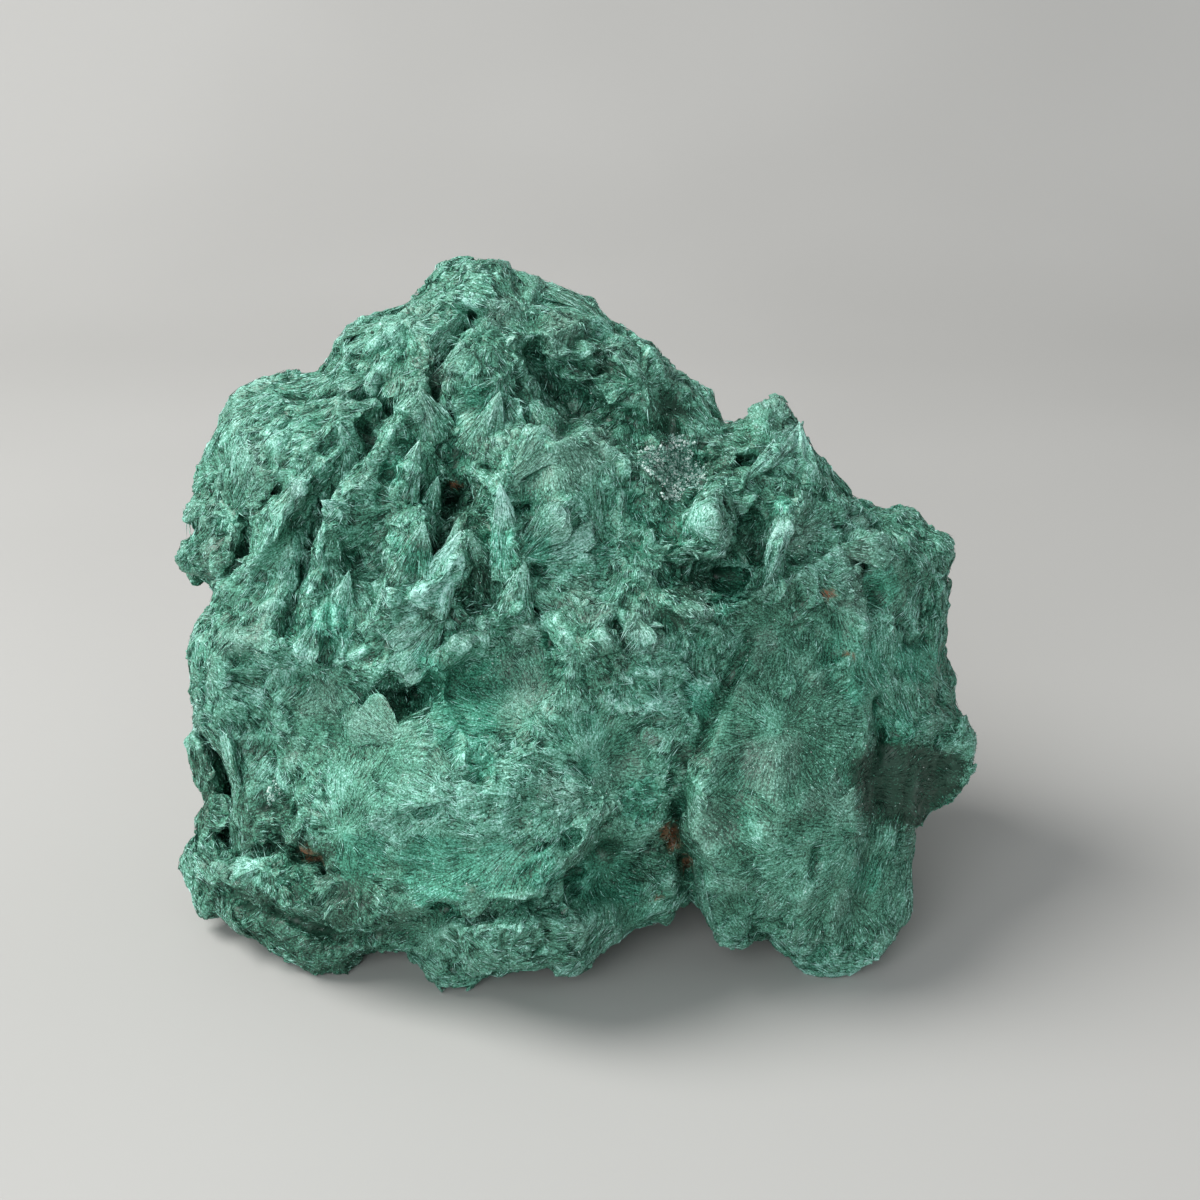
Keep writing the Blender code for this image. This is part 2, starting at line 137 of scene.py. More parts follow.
class Shade:
    """A socket of a shader tree, so that sums and products of sockets read as arithmetic."""

    def __init__(self, tree, socket=None):
        self.tree = tree
        self.socket = socket

    def node(self, kind, settings=None, sockets=None, out=0):
        made = self.tree.nodes.new("ShaderNode" + kind)
        for name, value in (settings or {}).items():
            if name == "stops":
                ramp = made.color_ramp
                while len(ramp.elements) < len(value):
                    ramp.elements.new(0.5)
                for element, (place, colour) in zip(ramp.elements, value):
                    element.position = place
                    element.color = (*colour, 1) if len(colour) == 3 else colour
            else:
                setattr(made, name, value)
        for name, value in (sockets or {}).items():
            if isinstance(value, Shade):
                self.tree.links.new(value.socket, made.inputs[name])
            elif hasattr(value, "__len__") and len(value) == 3 and made.inputs[name].type == "RGBA":
                made.inputs[name].default_value = (*value, 1)
            else:
                made.inputs[name].default_value = value
        return Shade(self.tree, made.outputs[out])

    def sum_of(self, operation, first, second=0.0):
        return self.node("Math", {"operation": operation}, {0: first, 1: second})

    def __add__(self, other):
        return self.sum_of("ADD", self, other)

    def __radd__(self, other):
        return self.sum_of("ADD", other, self)

    def __sub__(self, other):
        return self.sum_of("SUBTRACT", self, other)

    def __rsub__(self, other):
        return self.sum_of("SUBTRACT", other, self)

    def __mul__(self, other):
        return self.sum_of("MULTIPLY", self, other)

    def __rmul__(self, other):
        return self.sum_of("MULTIPLY", other, self)

    def __pow__(self, other):
        return self.sum_of("POWER", self, other)

    def kept(self):
        """Held between 0 and 1."""
        return self.node("Clamp", None, {"Value": self})

    def over(self, low, high):
        """0 below low, 1 above high, and smooth between."""
        return self.node(
            "MapRange",
            {"interpolation_type": "SMOOTHSTEP"},
            {"Value": self, "From Min": low, "From Max": high},
        )

    def mixed(self, first, second):
        """first where this is 0, second where it is 1."""
        return self.node(
            "Mix", {"data_type": "RGBA"}, {"Factor": self, 6: first, 7: second}, out=2
        )

    def noise(self, place, scale, detail=3.0, roughness=0.5):
        return self.node(
            "TexNoise",
            None,
            {"Vector": place, "Scale": scale, "Detail": detail, "Roughness": roughness},
        )

    def attribute(self, name):
        return self.node("Attribute", {"attribute_name": name}, None, out=2)


def new_material(name):
    made = bpy.data.materials.new(name)
    made.use_nodes = True
    tree = made.node_tree
    return made, Shade(tree), tree.nodes["Principled BSDF"]


def connect(shade, principled, name):
    shade.tree.links.new(shade.socket, principled.inputs[name])


floor_paper, paint, finish = new_material("floor_paper")
place = paint.node("TexCoord", None, None, out=3)
cloud = paint.noise(place, 4.0, 2.0).over(0.3, 0.7)
connect(cloud.mixed((0.395, 0.39, 0.377), (0.42, 0.415, 0.402)), finish, "Base Color")
finish.inputs["Roughness"].default_value = 0.85
floor.data.materials.append(floor_paper)


# Light
# Plain soft daylight: one large soft window light from the upper left, a weak pale
# fill from the right, and a pale sky all round.
def soft_light(name, place, target, size, watts, colour):
    way = Vector(target) - Vector(place)
    bpy.ops.object.light_add(
        type="AREA", location=place, rotation=way.to_track_quat("-Z", "Y").to_euler()
    )
    made = bpy.context.object
    made.name = name
    made.data.shape = "DISK"
    made.data.size = size
    made.data.energy = watts
    made.data.color = colour
    return made


soft_light("window", (-0.72, -0.05, 0.95), (0, 0, 0.05), 0.75, 16.5, (1.0, 0.99, 0.97))
soft_light("fill", (-0.35, -1.10, 0.55), (0, 0, 0.05), 0.9, 9.0, (0.95, 0.98, 1.0))
sky = bpy.data.worlds.new("sky")
bpy.context.scene.world = sky
sky.use_nodes = True
sky.node_tree.nodes["Background"].inputs["Color"].default_value = (0.93, 0.97, 1.0, 1)
sky.node_tree.nodes["Background"].inputs["Strength"].default_value = 0.45
bpy.context.scene.view_settings.view_transform = "Standard"


# Stone
# The lump itself, one solid mass of grown malachite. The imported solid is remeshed
# fine, carved, and then each spray of needles gets its own flutes and steps.
FIRST_MESH = 0.75 * MM
FINE_MESH = 0.52 * MM
SKIN_TRIANGLES = 196000


def places_of(mesh):
    flat = np.empty(len(mesh.vertices) * 3, np.float32)
    mesh.vertices.foreach_get("co", flat)
    return flat.reshape(-1, 3).astype(float)


def put_places(mesh, places):
    mesh.vertices.foreach_set("co", places.astype(np.float32).ravel())
    mesh.update()


def normals_of(mesh):
    flat = np.empty(len(mesh.vertices) * 3, np.float32)
    mesh.vertices.foreach_get("normal", flat)
    return flat.reshape(-1, 3).astype(float)


def edges_of(mesh):
    flat = np.empty(len(mesh.edges) * 2, np.int32)
    mesh.edges.foreach_get("vertices", flat)
    return flat.reshape(-1, 2)


def evened(mesh, values, rounds):
    """Values on the points of a mesh, each round averaged with their neighbours'."""
    edges = edges_of(mesh)
    count = len(mesh.vertices)
    ends = np.concatenate((edges[:, 0], edges[:, 1]))
    others = np.concatenate((edges[:, 1], edges[:, 0]))
    shares = np.bincount(ends, minlength=count)
    shares = np.maximum(shares, 1)
    flat = values.reshape(count, -1).astype(float)
    for _ in range(rounds):
        columns = [
            np.bincount(ends, weights=flat[others, k], minlength=count) / shares
            for k in range(flat.shape[1])
        ]
        flat = (flat + np.stack(columns, axis=1)) / 2
    return flat.reshape(values.shape)


def unit_long(ways):
    return ways / np.maximum(np.linalg.norm(ways, axis=1), 1e-9)[:, None]


def with_modifier(piece, kind, **settings):
    bpy.ops.object.select_all(action="DESELECT")
    bpy.context.view_layer.objects.active = piece
    piece.select_set(True)
    added = piece.modifiers.new(kind.lower(), kind)
    for name, value in settings.items():
        setattr(added, name, value)
    bpy.ops.object.modifier_apply(modifier=added.name)


def hashed(cells, seed):
    """A number from 0 to 1 for each row of whole numbers, always the same one."""
    mixed = np.full(len(cells), seed * 374761393 + 668265263, np.uint64)
    for k in range(cells.shape[1]):
        column = cells[:, k].astype(np.int64).astype(np.uint64)
        mixed = (mixed ^ (column * np.uint64(2654435761))) * np.uint64(2246822519)
        mixed ^= mixed >> np.uint64(15)
    mixed = (mixed ^ (mixed >> np.uint64(13))) * np.uint64(3266489917)
    return ((mixed >> np.uint64(7)) & np.uint64(0xFFFFF)).astype(float) / 0xFFFFF


def wander(points, size, seed):
    """Smooth random values from -1 to 1, with lumps about as wide as size."""
    scaled = points / size
    low = np.floor(scaled)
    part = scaled - low
    part = part * part * (3 - 2 * part)
    total = np.zeros(len(points))
    for corner in range(8):
        step = np.array([(corner >> k) & 1 for k in range(3)])
        share = np.prod(np.where(step, part, 1 - part), axis=1)
        total += share * hashed(low + step, seed)
    return total * 2 - 1


def in_photo(places):
    """Where points show in the photograph, in its pixels, and how far out they stand."""
    offset = places - AIM
    out = offset @ TOWARDS_EYE
    nearer = SIGHT / (SIGHT - out)
    across = PHOTO_MIDDLE + offset @ ACROSS * nearer * PHOTO_SCALE
    down = PHOTO_MIDDLE - offset @ UP * nearer * PHOTO_SCALE
    return np.stack((across, down), axis=1), out


def between(value, low, high):
    part = np.clip((value - low) / (high - low), 0, 1)
    return part * part * (3 - 2 * part)


bpy.ops.object.select_all(action="DESELECT")
solid = frame["nodes"]["malachite"]
skin = bpy.data.objects.new("malachite_skin", solid.data.copy())
bpy.context.scene.collection.objects.link(skin)
skin.data.materials.clear()
bpy.context.view_layer.objects.active = skin
skin.select_set(True)
bpy.ops.object.mode_set(mode="EDIT")
bpy.ops.mesh.select_all(action="SELECT")
bpy.ops.mesh.remove_doubles(threshold=0.01 * MM)
bpy.ops.object.mode_set(mode="OBJECT")
with_modifier(skin, "REMESH", mode="VOXEL", voxel_size=FIRST_MESH)
with_modifier(skin, "SMOOTH", factor=0.5, iterations=6)


# The strokes that carve the face, each drawn over the photograph in its pixels, with
# heights in mm. A fin stands up along its line and a gully sinks. A ledge is high on
# the left of its line, as one walks along it, and drops off on the right.
SPIRES = [
    # height at the tip, half width at the foot, tone, line from tip to foot; the tone is partly painted light, high
    # on spires that face the lamp, and painted shade, low on shadowed ones
    (4.8, 17, 1.15, [(500, 482), (503, 520), (508, 575)]),
    (3.0, 11, 0.9, [(459, 516), (452, 545), (440, 572)]),
    (3.4, 24, 1.2, [(461, 530), (446, 570), (422, 606)]),
    (4.5, 25, 0.0, [(469, 531), (482, 565), (492, 602)]),
    (4.0, 21, 0.5, [(424, 521), (416, 550), (410, 582)]),
    (3.0, 10, 0.5, [(438, 476), (430, 508)]),
    (3.0, 14, 0.5, [(420, 439), (412, 470), (404, 498)]),
    (1.6, 15, 0.5, [(525, 561), (520, 585), (514, 610)]),
    (3.0, 20, 0.6, [(500, 391), (490, 420), (478, 452)]),
    (3.0, 20, 0.6, [(419, 386), (428, 410), (434, 436)]),
    (3.0, 14, 0.8, [(799, 421), (801, 450), (804, 490)]),
    (2.5, 12, 0.6, [(349, 570), (346, 592), (340, 616)]),
    (2.5, 14, 0.6, [(340, 423), (345, 445), (345, 468)]),
    (2.0, 14, 0.8, [(285, 641), (285, 660), (283, 682)]),
]
FINS = [
    # height, half width, line
    (3.0, 10, [(452, 560), (444, 576), (420, 590), (392, 597)]),
    (2.5, 7, [(499, 475), (478, 508)]),
    (2.8, 14, [(518, 545), (542, 520), (575, 503)]),
    (1.8, 10, [(525, 560), (560, 550), (598, 536)]),
    (2.0, 12, [(436, 655), (432, 690), (436, 720)]),
    (2.5, 6, [(428, 660), (404, 685)]),
    (2.0, 9, [(636, 575), (620, 594), (608, 604)]),
    (1.5, 8, [(718, 630), (705, 645), (678, 657)]),
    (1.5, 6, [(600, 638), (620, 654), (640, 652)]),
    (1.8, 6, [(636, 618), (640, 648)]),
    (3.5, 20, [(712, 492), (715, 530)]),
    (4.0, 12, [(783, 503), (783, 530), (779, 548), (768, 565)]),
    (3.0, 11, [(668, 549), (690, 546), (716, 549)]),
    (2.0, 6, [(702, 616), (712, 609), (720, 616)]),
    (3.0, 10, [(793, 429), (775, 450), (757, 466), (742, 480)]),
    (2.0, 9, [(823, 510), (832, 514)]),
    (2.5, 12, [(862, 632), (868, 624), (888, 617)]),
    (1.8, 8, [(812, 620), (820, 616), (832, 640)]),
    (1.5, 9, [(838, 900), (832, 920), (829, 940)]),
    (1.5, 6, [(488, 772), (491, 785), (480, 798)]),
    (2.0, 8, [(375, 820), (395, 810), (415, 803)]),
    (1.5, 7, [(428, 798), (434, 784), (440, 774)]),
    (1.8, 10, [(500, 380), (476, 392), (455, 403)]),
    (2.2, 12, [(485, 322), (462, 340), (448, 362), (450, 384)]),
    (1.8, 10, [(455, 303), (470, 300), (492, 306)]),
    (2.0, 10, [(558, 336), (580, 325), (604, 322)]),
    (2.0, 8, [(622, 448), (626, 470)]),
    (3.0, 12, [(340, 424), (322, 441), (304, 453)]),
    (2.0, 18, [(320, 460), (300, 490), (282, 525), (262, 560), (240, 600)]),
    (1.5, 6, [(363, 488), (385, 485), (405, 489)]),
    (2.5, 8, [(334, 527), (322, 530), (320, 548), (326, 570)]),
    (2.0, 9, [(381, 545), (394, 568), (398, 586)]),
    (2.0, 9, [(392, 330), (396, 350), (380, 372), (366, 382)]),
    (1.8, 8, [(345, 372), (340, 400)]),
    (1.2, 4, [(284, 769), (303, 786)]),
    (1.0, 4, [(222, 506), (234, 514)]),
    (1.0, 4, [(240, 488), (256, 499)]),
    (3.0, 21, [(252, 868), (274, 876)]),
    (1.5, 5, [(286, 856), (291, 864)]),
    (1.5, 9, [(314, 668), (340, 660), (380, 646)]),
    (1.6, 8, [(372, 690), (385, 665), (392, 648)]),
    (2.0, 12, [(562, 640), (570, 680), (574, 712)]),
    (1.8, 8, [(530, 722), (540, 732), (536, 742)]),
    (2.0, 14, [(640, 672), (660, 676)]),
    (1.5, 6, [(620, 711), (634, 706), (645, 714)]),
    (2.0, 9, [(595, 560), (580, 555)]),
    (1.5, 7, [(578, 598), (590, 606)]),
    (1.8, 8, [(515, 612), (525, 606)]),
    (1.8, 10, [(474, 625), (500, 612)]),
]
GULLIES = [
    # depth, half width, line
    (4.2, 20, [(442, 497), (462, 490), (486, 497)]),
    (4.0, 10, [(487, 468), (494, 474)]),
    (3.5, 11, [(470, 600), (490, 606)]),
    (3.5, 9, [(512, 510), (524, 508)]),
    (4.0, 8, [(532, 568), (541, 572)]),
    (4.5, 9, [(535, 606), (541, 620)]),
    (4.0, 8, [(594, 518), (600, 528)]),
    (4.0, 12, [(614, 625), (624, 640), (634, 646)]),
    (3.5, 9, [(408, 592), (430, 560), (436, 535)]),
    (4.0, 7, [(705, 462), (722, 459), (744, 460)]),
    (4.5, 8, [(699, 478), (692, 502)]),
    (5.0, 17, [(748, 522), (756, 542), (762, 556)]),
    (2.6, 22, [(668, 578), (700, 586), (738, 578)]),
    (3.5, 6, [(684, 537), (702, 538)]),
    (3.0, 6, [(706, 621), (718, 620)]),
    (5.5, 8, [(832, 528), (845, 519)]),
    (5.0, 7, [(847, 543), (856, 560), (863, 568)]),
    (3.0, 7, [(922, 588), (924, 612)]),
    (3.5, 9, [(903, 632), (910, 645), (926, 642)]),
    (3.5, 5, [(880, 702), (878, 716)]),
    (3.0, 8, [(878, 722), (880, 745), (872, 770), (866, 790), (858, 815)]),
    (2.5, 9, [(748, 640), (738, 665), (722, 700), (706, 728), (699, 756)]),
    (4.0, 5, [(672, 773), (671, 790)]),
    (4.0, 9, [(681, 800), (674, 830), (668, 852)]),
    (4.5, 8, [(690, 848), (693, 876)]),
    (3.0, 15, [(648, 850), (664, 866)]),
    (3.5, 5, [(684, 682), (687, 692)]),
    (3.5, 9, [(468, 783), (480, 780)]),
    (3.5, 7, [(416, 816), (429, 809)]),
    (4.0, 7, [(564, 843), (577, 837)]),
    (3.5, 5, [(612, 820), (596, 836), (585, 848)]),
    (2.5, 7, [(538, 850), (550, 842)]),
    (4.0, 8, [(558, 880), (580, 872)]),
    (4.0, 6, [(565, 903), (578, 888)]),
    (4.0, 5, [(522, 902), (541, 905)]),
    (2.0, 5, [(524, 874), (546, 862)]),
    (3.0, 7, [(530, 948), (546, 940)]),
    (3.0, 9, [(448, 971), (463, 964)]),
    (1.8, 4, [(538, 930), (542, 927)]),
    (3.0, 6, [(298, 800), (295, 816)]),
    (4.5, 10, [(238, 860), (262, 848), (285, 846), (305, 852), (318, 864), (326, 876)]),
    (4.5, 9, [(203, 738), (217, 755), (226, 778), (228, 795), (222, 812), (224, 834)]),
    (3.0, 8, [(230, 870), (242, 886), (266, 902), (288, 916), (325, 930)]),
    (3.0, 5, [(262, 721), (254, 729)]),
    (4.5, 10, [(288, 618), (300, 590), (305, 560), (312, 535), (320, 512), (327, 496)]),
    (4.5, 10, [(225, 575), (240, 560), (245, 540), (243, 515)]),
    (4.0, 8, [(262, 497), (275, 490)]),
    (2.0, 5, [(209, 467), (210, 470)]),
    (2.0, 5, [(210, 490), (212, 496)]),
    (5.0, 9, [(361, 426), (371, 442), (364, 454), (350, 466)]),
    (4.5, 9, [(362, 396), (378, 400), (391, 413)]),
    (2.5, 14, [(356, 560), (374, 570)]),
    (3.0, 5, [(399, 580), (402, 592)]),
    (3.0, 8, [(286, 396), (301, 398)]),
    (3.0, 8, [(328, 357), (333, 352)]),
    (1.5, 3, [(238, 447), (253, 443)]),
    (5.0, 10, [(476, 318), (455, 340), (440, 358), (434, 380), (439, 402)]),
    (4.0, 5, [(490, 300), (502, 297)]),
    (3.0, 9, [(520, 386), (532, 404), (528, 420)]),
    (5.0, 14, [(534, 346), (536, 366), (552, 382)]),
    (3.5, 9, [(556, 364), (580, 370), (604, 368)]),
    (3.5, 10, [(560, 426), (570, 416)]),
    (2.5, 14, [(672, 400), (672, 430)]),
    (3.0, 8, [(228, 664), (250, 660), (262, 656)]),
    (2.2, 10, [(372, 704), (400, 716), (424, 718)]),
    (1.5, 10, [(414, 700), (418, 712)]),
    (3.0, 8, [(548, 630), (552, 645)]),
    (2.0, 5, [(628, 496), (634, 498)]),
    (1.8, 4, [(538, 740), (545, 744)]),
    (2.5, 6, [(586, 772), (592, 766)]),
    (2.0, 4, [(808, 850), (812, 851)]),
    (2.0, 4, [(849, 852), (853, 852)]),
    (2.0, 4, [(862, 850), (864, 862)]),
    (2.0, 4, [(762, 908), (770, 905)]),
    (1.5, 4, [(698, 897), (718, 898)]),
    (2.0, 6, [(818, 850), (814, 880)]),
    (2.5, 8, [(752, 934), (772, 936)]),
    (2.0, 7, [(310, 620), (322, 640), (336, 652)]),
]
LEDGES = [
    # height, width, line
    (3.0, 22, [(612, 442), (605, 427), (585, 426), (570, 433), (556, 441), (543, 431), (530, 426), (514, 441), (505, 462)]),
    (2.5, 20, [(540, 350), (560, 356), (580, 356), (600, 351), (618, 361), (632, 376)]),
    (2.5, 16, [(722, 548), (730, 535), (745, 515), (757, 497)]),
    (2.2, 18, [(835, 552), (800, 572), (765, 585), (742, 598), (722, 607)]),
    (2.5, 20, [(718, 628), (700, 612), (675, 600), (655, 580), (635, 562)]),
    (2.2, 20, [(420, 895), (440, 903), (470, 908), (500, 912), (515, 903), (540, 893)]),
    (2.0, 18, [(385, 430), (372, 450), (352, 470), (340, 485), (332, 497), (333, 508)]),
    (1.8, 16, [(330, 668), (305, 652), (285, 642), (265, 645), (250, 656)]),
    (2.0, 16, [(398, 598), (390, 588), (370, 578), (345, 574)]),
    (2.0, 18, [(548, 618), (540, 600), (541, 580), (552, 572)]),
    (2.0, 22, [(536, 600), (515, 603), (500, 612), (470, 619), (455, 634), (440, 650)]),
    (1.6, 14, [(845, 655), (830, 662), (813, 673)]),
    (1.8, 16, [(664, 500), (655, 488), (640, 482), (620, 490), (612, 505)]),
    (1.8, 16, [(500, 742), (470, 735), (455, 715), (447, 695), (450, 678)]),
    (1.6, 14, [(300, 840), (296, 815), (301, 800), (320, 796)]),
]


def line_distance(spots, line):
    """How far spots are from a line of points, negative on its left, and how far along."""
    best = np.full(len(spots), 1e9)
    side = np.zeros(len(spots))
    reached = np.zeros(len(spots))
    pieces = len(line) - 1
    for number, ((ax, ay), (bx, by)) in enumerate(zip(line[:-1], line[1:])):
        step = np.array((bx - ax, by - ay), float)
        gap = spots - (ax, ay)
        share = np.clip(gap @ step / (step @ step), 0, 1)
        away = gap - share[:, None] * step
        far = np.hypot(away[:, 0], away[:, 1])
        nearer = far < best
        best = np.where(nearer, far, best)
        turn = step[0] * gap[:, 1] - step[1] * gap[:, 0]
        side = np.where(nearer, np.where(turn < 0, -1.0, 1.0), side)
        reached = np.where(nearer, (number + share) / pieces, reached)
    return best * side, reached


def stroked(spots, strokes, profile):
    """The sum of a kind of stroke at spots, in mm."""
    total = np.zeros(len(spots))
    for height, width, line in strokes:
        box = np.array(line, float)
        near = np.all((spots > box.min(axis=0) - width) & (spots < box.max(axis=0) + width), axis=1)
        far, reached = line_distance(spots[near], line)
        total[near] += height * profile(far / width, reached)
    return total


def blade(far, reached):
    """A sharp crest."""
    return np.clip(1 - abs(far), 0, 1) ** 1.15


def spire(far, reached):
    """A blade that is narrow and high at its tip and runs out wide and low."""
    return np.clip(1 - abs(far) / (0.12 + 0.88 * reached), 0, 1) * (1 - reached) ** 0.6


def trough(far, reached):
    """A steep-sided hollow."""
    return between(1 - abs(far), 0, 0.8)


def step_down(far, reached):
    """High on the left of the line, with a drop on its right."""
    high_side = np.clip(1 + far, 0, 1) ** 1.3
    low_side = -0.7 * np.clip(1 - far * 1.4, 0, 1) ** 1.5
    return np.where(far < 0, high_side, low_side)


def carved(places, normals):
    """How far the carving strokes push each point towards the eye, in metres."""
    spots, _ = in_photo(places)
    spots = spots + np.stack([wander(places, 2.2 * MM, 40 + k) for k in range(2)], axis=1) * 2.4
    spots = spots + np.stack([wander(places, 0.9 * MM, 44 + k) for k in range(2)], axis=1) * 1.3
    push = stroked(spots, FINS, blade)
    push += stroked(spots, LEDGES, step_down) - stroked(spots, GULLIES, trough)
    return push * MM * between(normals @ TOWARDS_EYE, 0.05, 0.35)


print("time", round(time.time() - started, 1))
places = places_of(skin.data)
broad_normals = evened(skin.data, normals_of(skin.data), 20)
broad_normals = unit_long(broad_normals)
places += carved(places, broad_normals)[:, None] * TOWARDS_EYE
put_places(skin.data, places)
with_modifier(skin, "REMESH", mode="VOXEL", voxel_size=FINE_MESH)
with_modifier(skin, "SMOOTH", factor=0.5, iterations=1)

print("time", round(time.time() - started, 1))
# Patches of the face that differ, each a soft disc over the photograph. Calm ones
# are smoother, with low relief and even needles. Pale ones are partly the stone's own
# paler patches and partly painted light on faces turned from the lamp. Dark ones are
# partly its own darker patches, such as the dark one at the right, and partly painted
# shade in hollows, on shadowed faces and along the underside.
ZONES = {
    "calm": [
        (775, 730, 76), (745, 820, 66), (815, 860, 56), (720, 885, 44), (830, 780, 44), (840, 660, 50),
        (760, 650, 40), (850, 720, 40), (860, 900, 40),
        (905, 785, 46), (880, 860, 30), (375, 760, 56), (330, 720, 44), (470, 700, 44), (510, 690, 44),
        (440, 870, 44), (360, 850, 36), (500, 870, 36), (600, 870, 40), (560, 470, 44), (620, 760, 34),
        (585, 730, 26), (885, 580, 30), (920, 660, 30), (240, 650, 26), (275, 540, 24), (670, 420, 26),
        (640, 920, 20), (420, 920, 30),
    ],
    # partly the stone's paler patches, partly painted light on faces turned from the lamp
    "pale": [
        (460, 800, 30, 0.6), (520, 790, 30, 0.6), (560, 822, 24, 0.6), (500, 838, 22, 0.6), (648, 690, 26, 0.8), (783, 532, 12),
        (448, 568, 16, 1.3), (434, 587, 19, 2.0), (412, 600, 16, 1.6), (500, 512, 15, 1.0), (500, 495, 10, 1.0), (300, 478, 16), (300, 550, 50, 0.5), (335, 505, 40, 0.4), (325, 600, 28, 0.35), (575, 555, 30, 0.6), (478, 655, 28, 0.5),
        (262, 700, 50, 0.45), (575, 755, 28, 0.45), (475, 300, 30, 0.3), (425, 945, 26, 0.4), (225, 455, 28, 0.35),
        (425, 858, 34, 0.3), (505, 715, 34, 0.35),
        (585, 726, 18), (770, 722, 14), (616, 700, 14), (575, 505, 10), (330, 790, 20), (420, 800, 16),
        (250, 690, 18), (735, 640, 14), (790, 680, 12), (610, 590, 12), (530, 410, 10), (395, 340, 14),
        (465, 305, 12), (285, 440, 16), (225, 520, 12), (300, 655, 16), (350, 650, 14), (270, 780, 16),
        (755, 830, 16), (256, 868, 18, 1.1), (272, 882, 14, 0.5), (680, 670, 40, 0.65), (865, 640, 34, 0.55), (780, 455, 24, 0.3), (435, 836, 62, 0.45), (365, 615, 36, 0.5), (640, 640, 12), (800, 440, 10), (600, 330, 12), (545, 300, 12),
    ],
    "dust": [
        (475, 628, 18), (597, 567, 14), (600, 437, 17), (560, 440, 14), (640, 620, 18), (585, 600, 26),
        (572, 407, 20), (530, 470, 26), (570, 470, 24), (700, 600, 20), (760, 640, 22), (500, 700, 34),
        (540, 690, 24), (505, 655, 20), (620, 700, 20), (440, 380, 14), (500, 310, 16), (560, 330, 16),
        (300, 490, 18), (860, 600, 20), (800, 540, 16), (560, 800, 26), (600, 770, 20), (320, 700, 24),
        (250, 640, 20), (520, 640, 18), (830, 800, 26), (720, 820, 26), (770, 760, 30), (370, 730, 24),
        (783, 532, 14), (660, 640, 16),
    ],
    # partly the stone's darker patches, partly painted shade in hollows, on shadowed faces and on the underside
    "dark": [
        (670, 417, 20), (885, 778, 34, 1.8), (925, 778, 32, 1.8), (905, 800, 28, 1.8), (892, 760, 24, 1.8), (948, 768, 18, 1.6), (880, 802, 24, 1.8), (208, 770, 22), (208, 810, 24),
        (275, 930, 32), (325, 950, 34), (350, 900, 20), (668, 470, 30), (720, 462, 18), (600, 372, 10),
        (478, 590, 16), (430, 610, 8), (690, 590, 16), (652, 740, 8), (330, 850, 10), (486, 575, 14),
        (270, 870, 12), (250, 900, 20), (674, 840, 24), (640, 868, 14), (610, 850, 12), (700, 760, 14),
        (265, 822, 34, 0.6), (252, 842, 11), (276, 840, 13), (300, 848, 14), (318, 862, 13), (331, 874, 9), (480, 290, 34, 0.3), (765, 790, 60, 0.35), (770, 720, 54, 0.45), (725, 752, 36, 0.3),
        (725, 850, 30, 0.35), (672, 600, 28, 0.35), (472, 455, 28, 0.35), (422, 380, 34, 0.4), (575, 605, 24, 0.3),
        (470, 505, 26, 0.9), (425, 555, 22, 0.9), (225, 555, 22, 0.6), (484, 568, 14, 1.2), (325, 800, 26, 0.3),
        (720, 517, 20, 0.35), (580, 315, 40, 0.3), (525, 450, 24, 0.25), (400, 910, 60, 0.3), (290, 700, 20, 0.3),
        (225, 900, 30, 0.8), (300, 900, 34, 0.7), (380, 950, 40, 0.5), (560, 930, 30, 0.3), (540, 640, 16, 0.4),
        (345, 530, 20, 0.3), (390, 620, 12, 0.5), (610, 660, 16, 0.4), (820, 750, 30, 0.3),
        (456, 492, 12), (855, 555, 10), (880, 745, 8), (395, 712, 14), (745, 545, 12), (300, 600, 10),
    ],
    "mint": [
        (465, 725, 30), (445, 690, 22), (430, 662, 12), (482, 760, 16), (440, 872, 34), (500, 868, 26),
        (360, 855, 24), (882, 585, 18), (920, 665, 18), (900, 728, 18), (500, 545, 18), (420, 560, 14),
        (938, 805, 10), (680, 534, 7), (780, 505, 9), (480, 400, 14), (620, 880, 20), (540, 870, 20),
        (330, 620, 18), (395, 470, 14), (640, 800, 18), (865, 880, 14), (700, 700, 14), (540, 545, 12),
        (860, 690, 14), (590, 880, 18), (404, 545, 12), (725, 600, 14),
    ],
    "rust": [
        (669, 832, 7), (672, 845, 7), (688, 865, 7), (655, 895, 4), (852, 655, 3), (825, 592, 4),
        (477, 890, 3), (308, 854, 5), (320, 860, 4), (245, 742, 3), (458, 484, 4),
    ],
    "drusy": [(656, 462, 16), (678, 455, 17), (692, 476, 15), (672, 484, 14), (276, 792, 10)],
}


def zoned(points, facing, discs, seed):
    """How far points are in any of some soft discs, drawn over the photograph."""
    spots, _ = in_photo(points)
    spots += np.stack([wander(points, 2.0 * MM, seed + k) for k in range(2)], axis=1) * 6
    spots += np.stack([wander(points, 0.7 * MM, seed + 3 + k) for k in range(2)], axis=1) * 4
    share = np.zeros(len(points))
    for x, y, reach, *strength in discs:
        gap = np.hypot(spots[:, 0] - x, spots[:, 1] - y) / reach
        strength = strength[0] if strength else 1
        soft = 0.28 if strength > 1.1 else 0.6
        share = np.maximum(share, between(1 + soft / 2 - gap, 0, soft) * strength)
    return share * between(facing, -0.1, 0.2)


SCATTERED = {"calm": 0.55, "pale": 0.72, "dust": 0.55, "dark": 0.78, "mint": 0.66, "rust": 1.12, "drusy": 1.05}


def zone_share(name, points, facing):
    """A zone's share at points: its discs in front, chance patches all round."""
    number = list(ZONES).index(name)
    patches = 0.5 + wander(points, 9 * MM, 80 + number) * 0.7 + wander(points, 3 * MM, 88 + number) * 0.3
    elsewhere = between(patches, SCATTERED[name], SCATTERED[name] + 0.2) * (1 - between(facing, -0.1, 0.2))
    return np.maximum(zoned(points, facing, ZONES[name], 96 + number * 8), elsewhere)


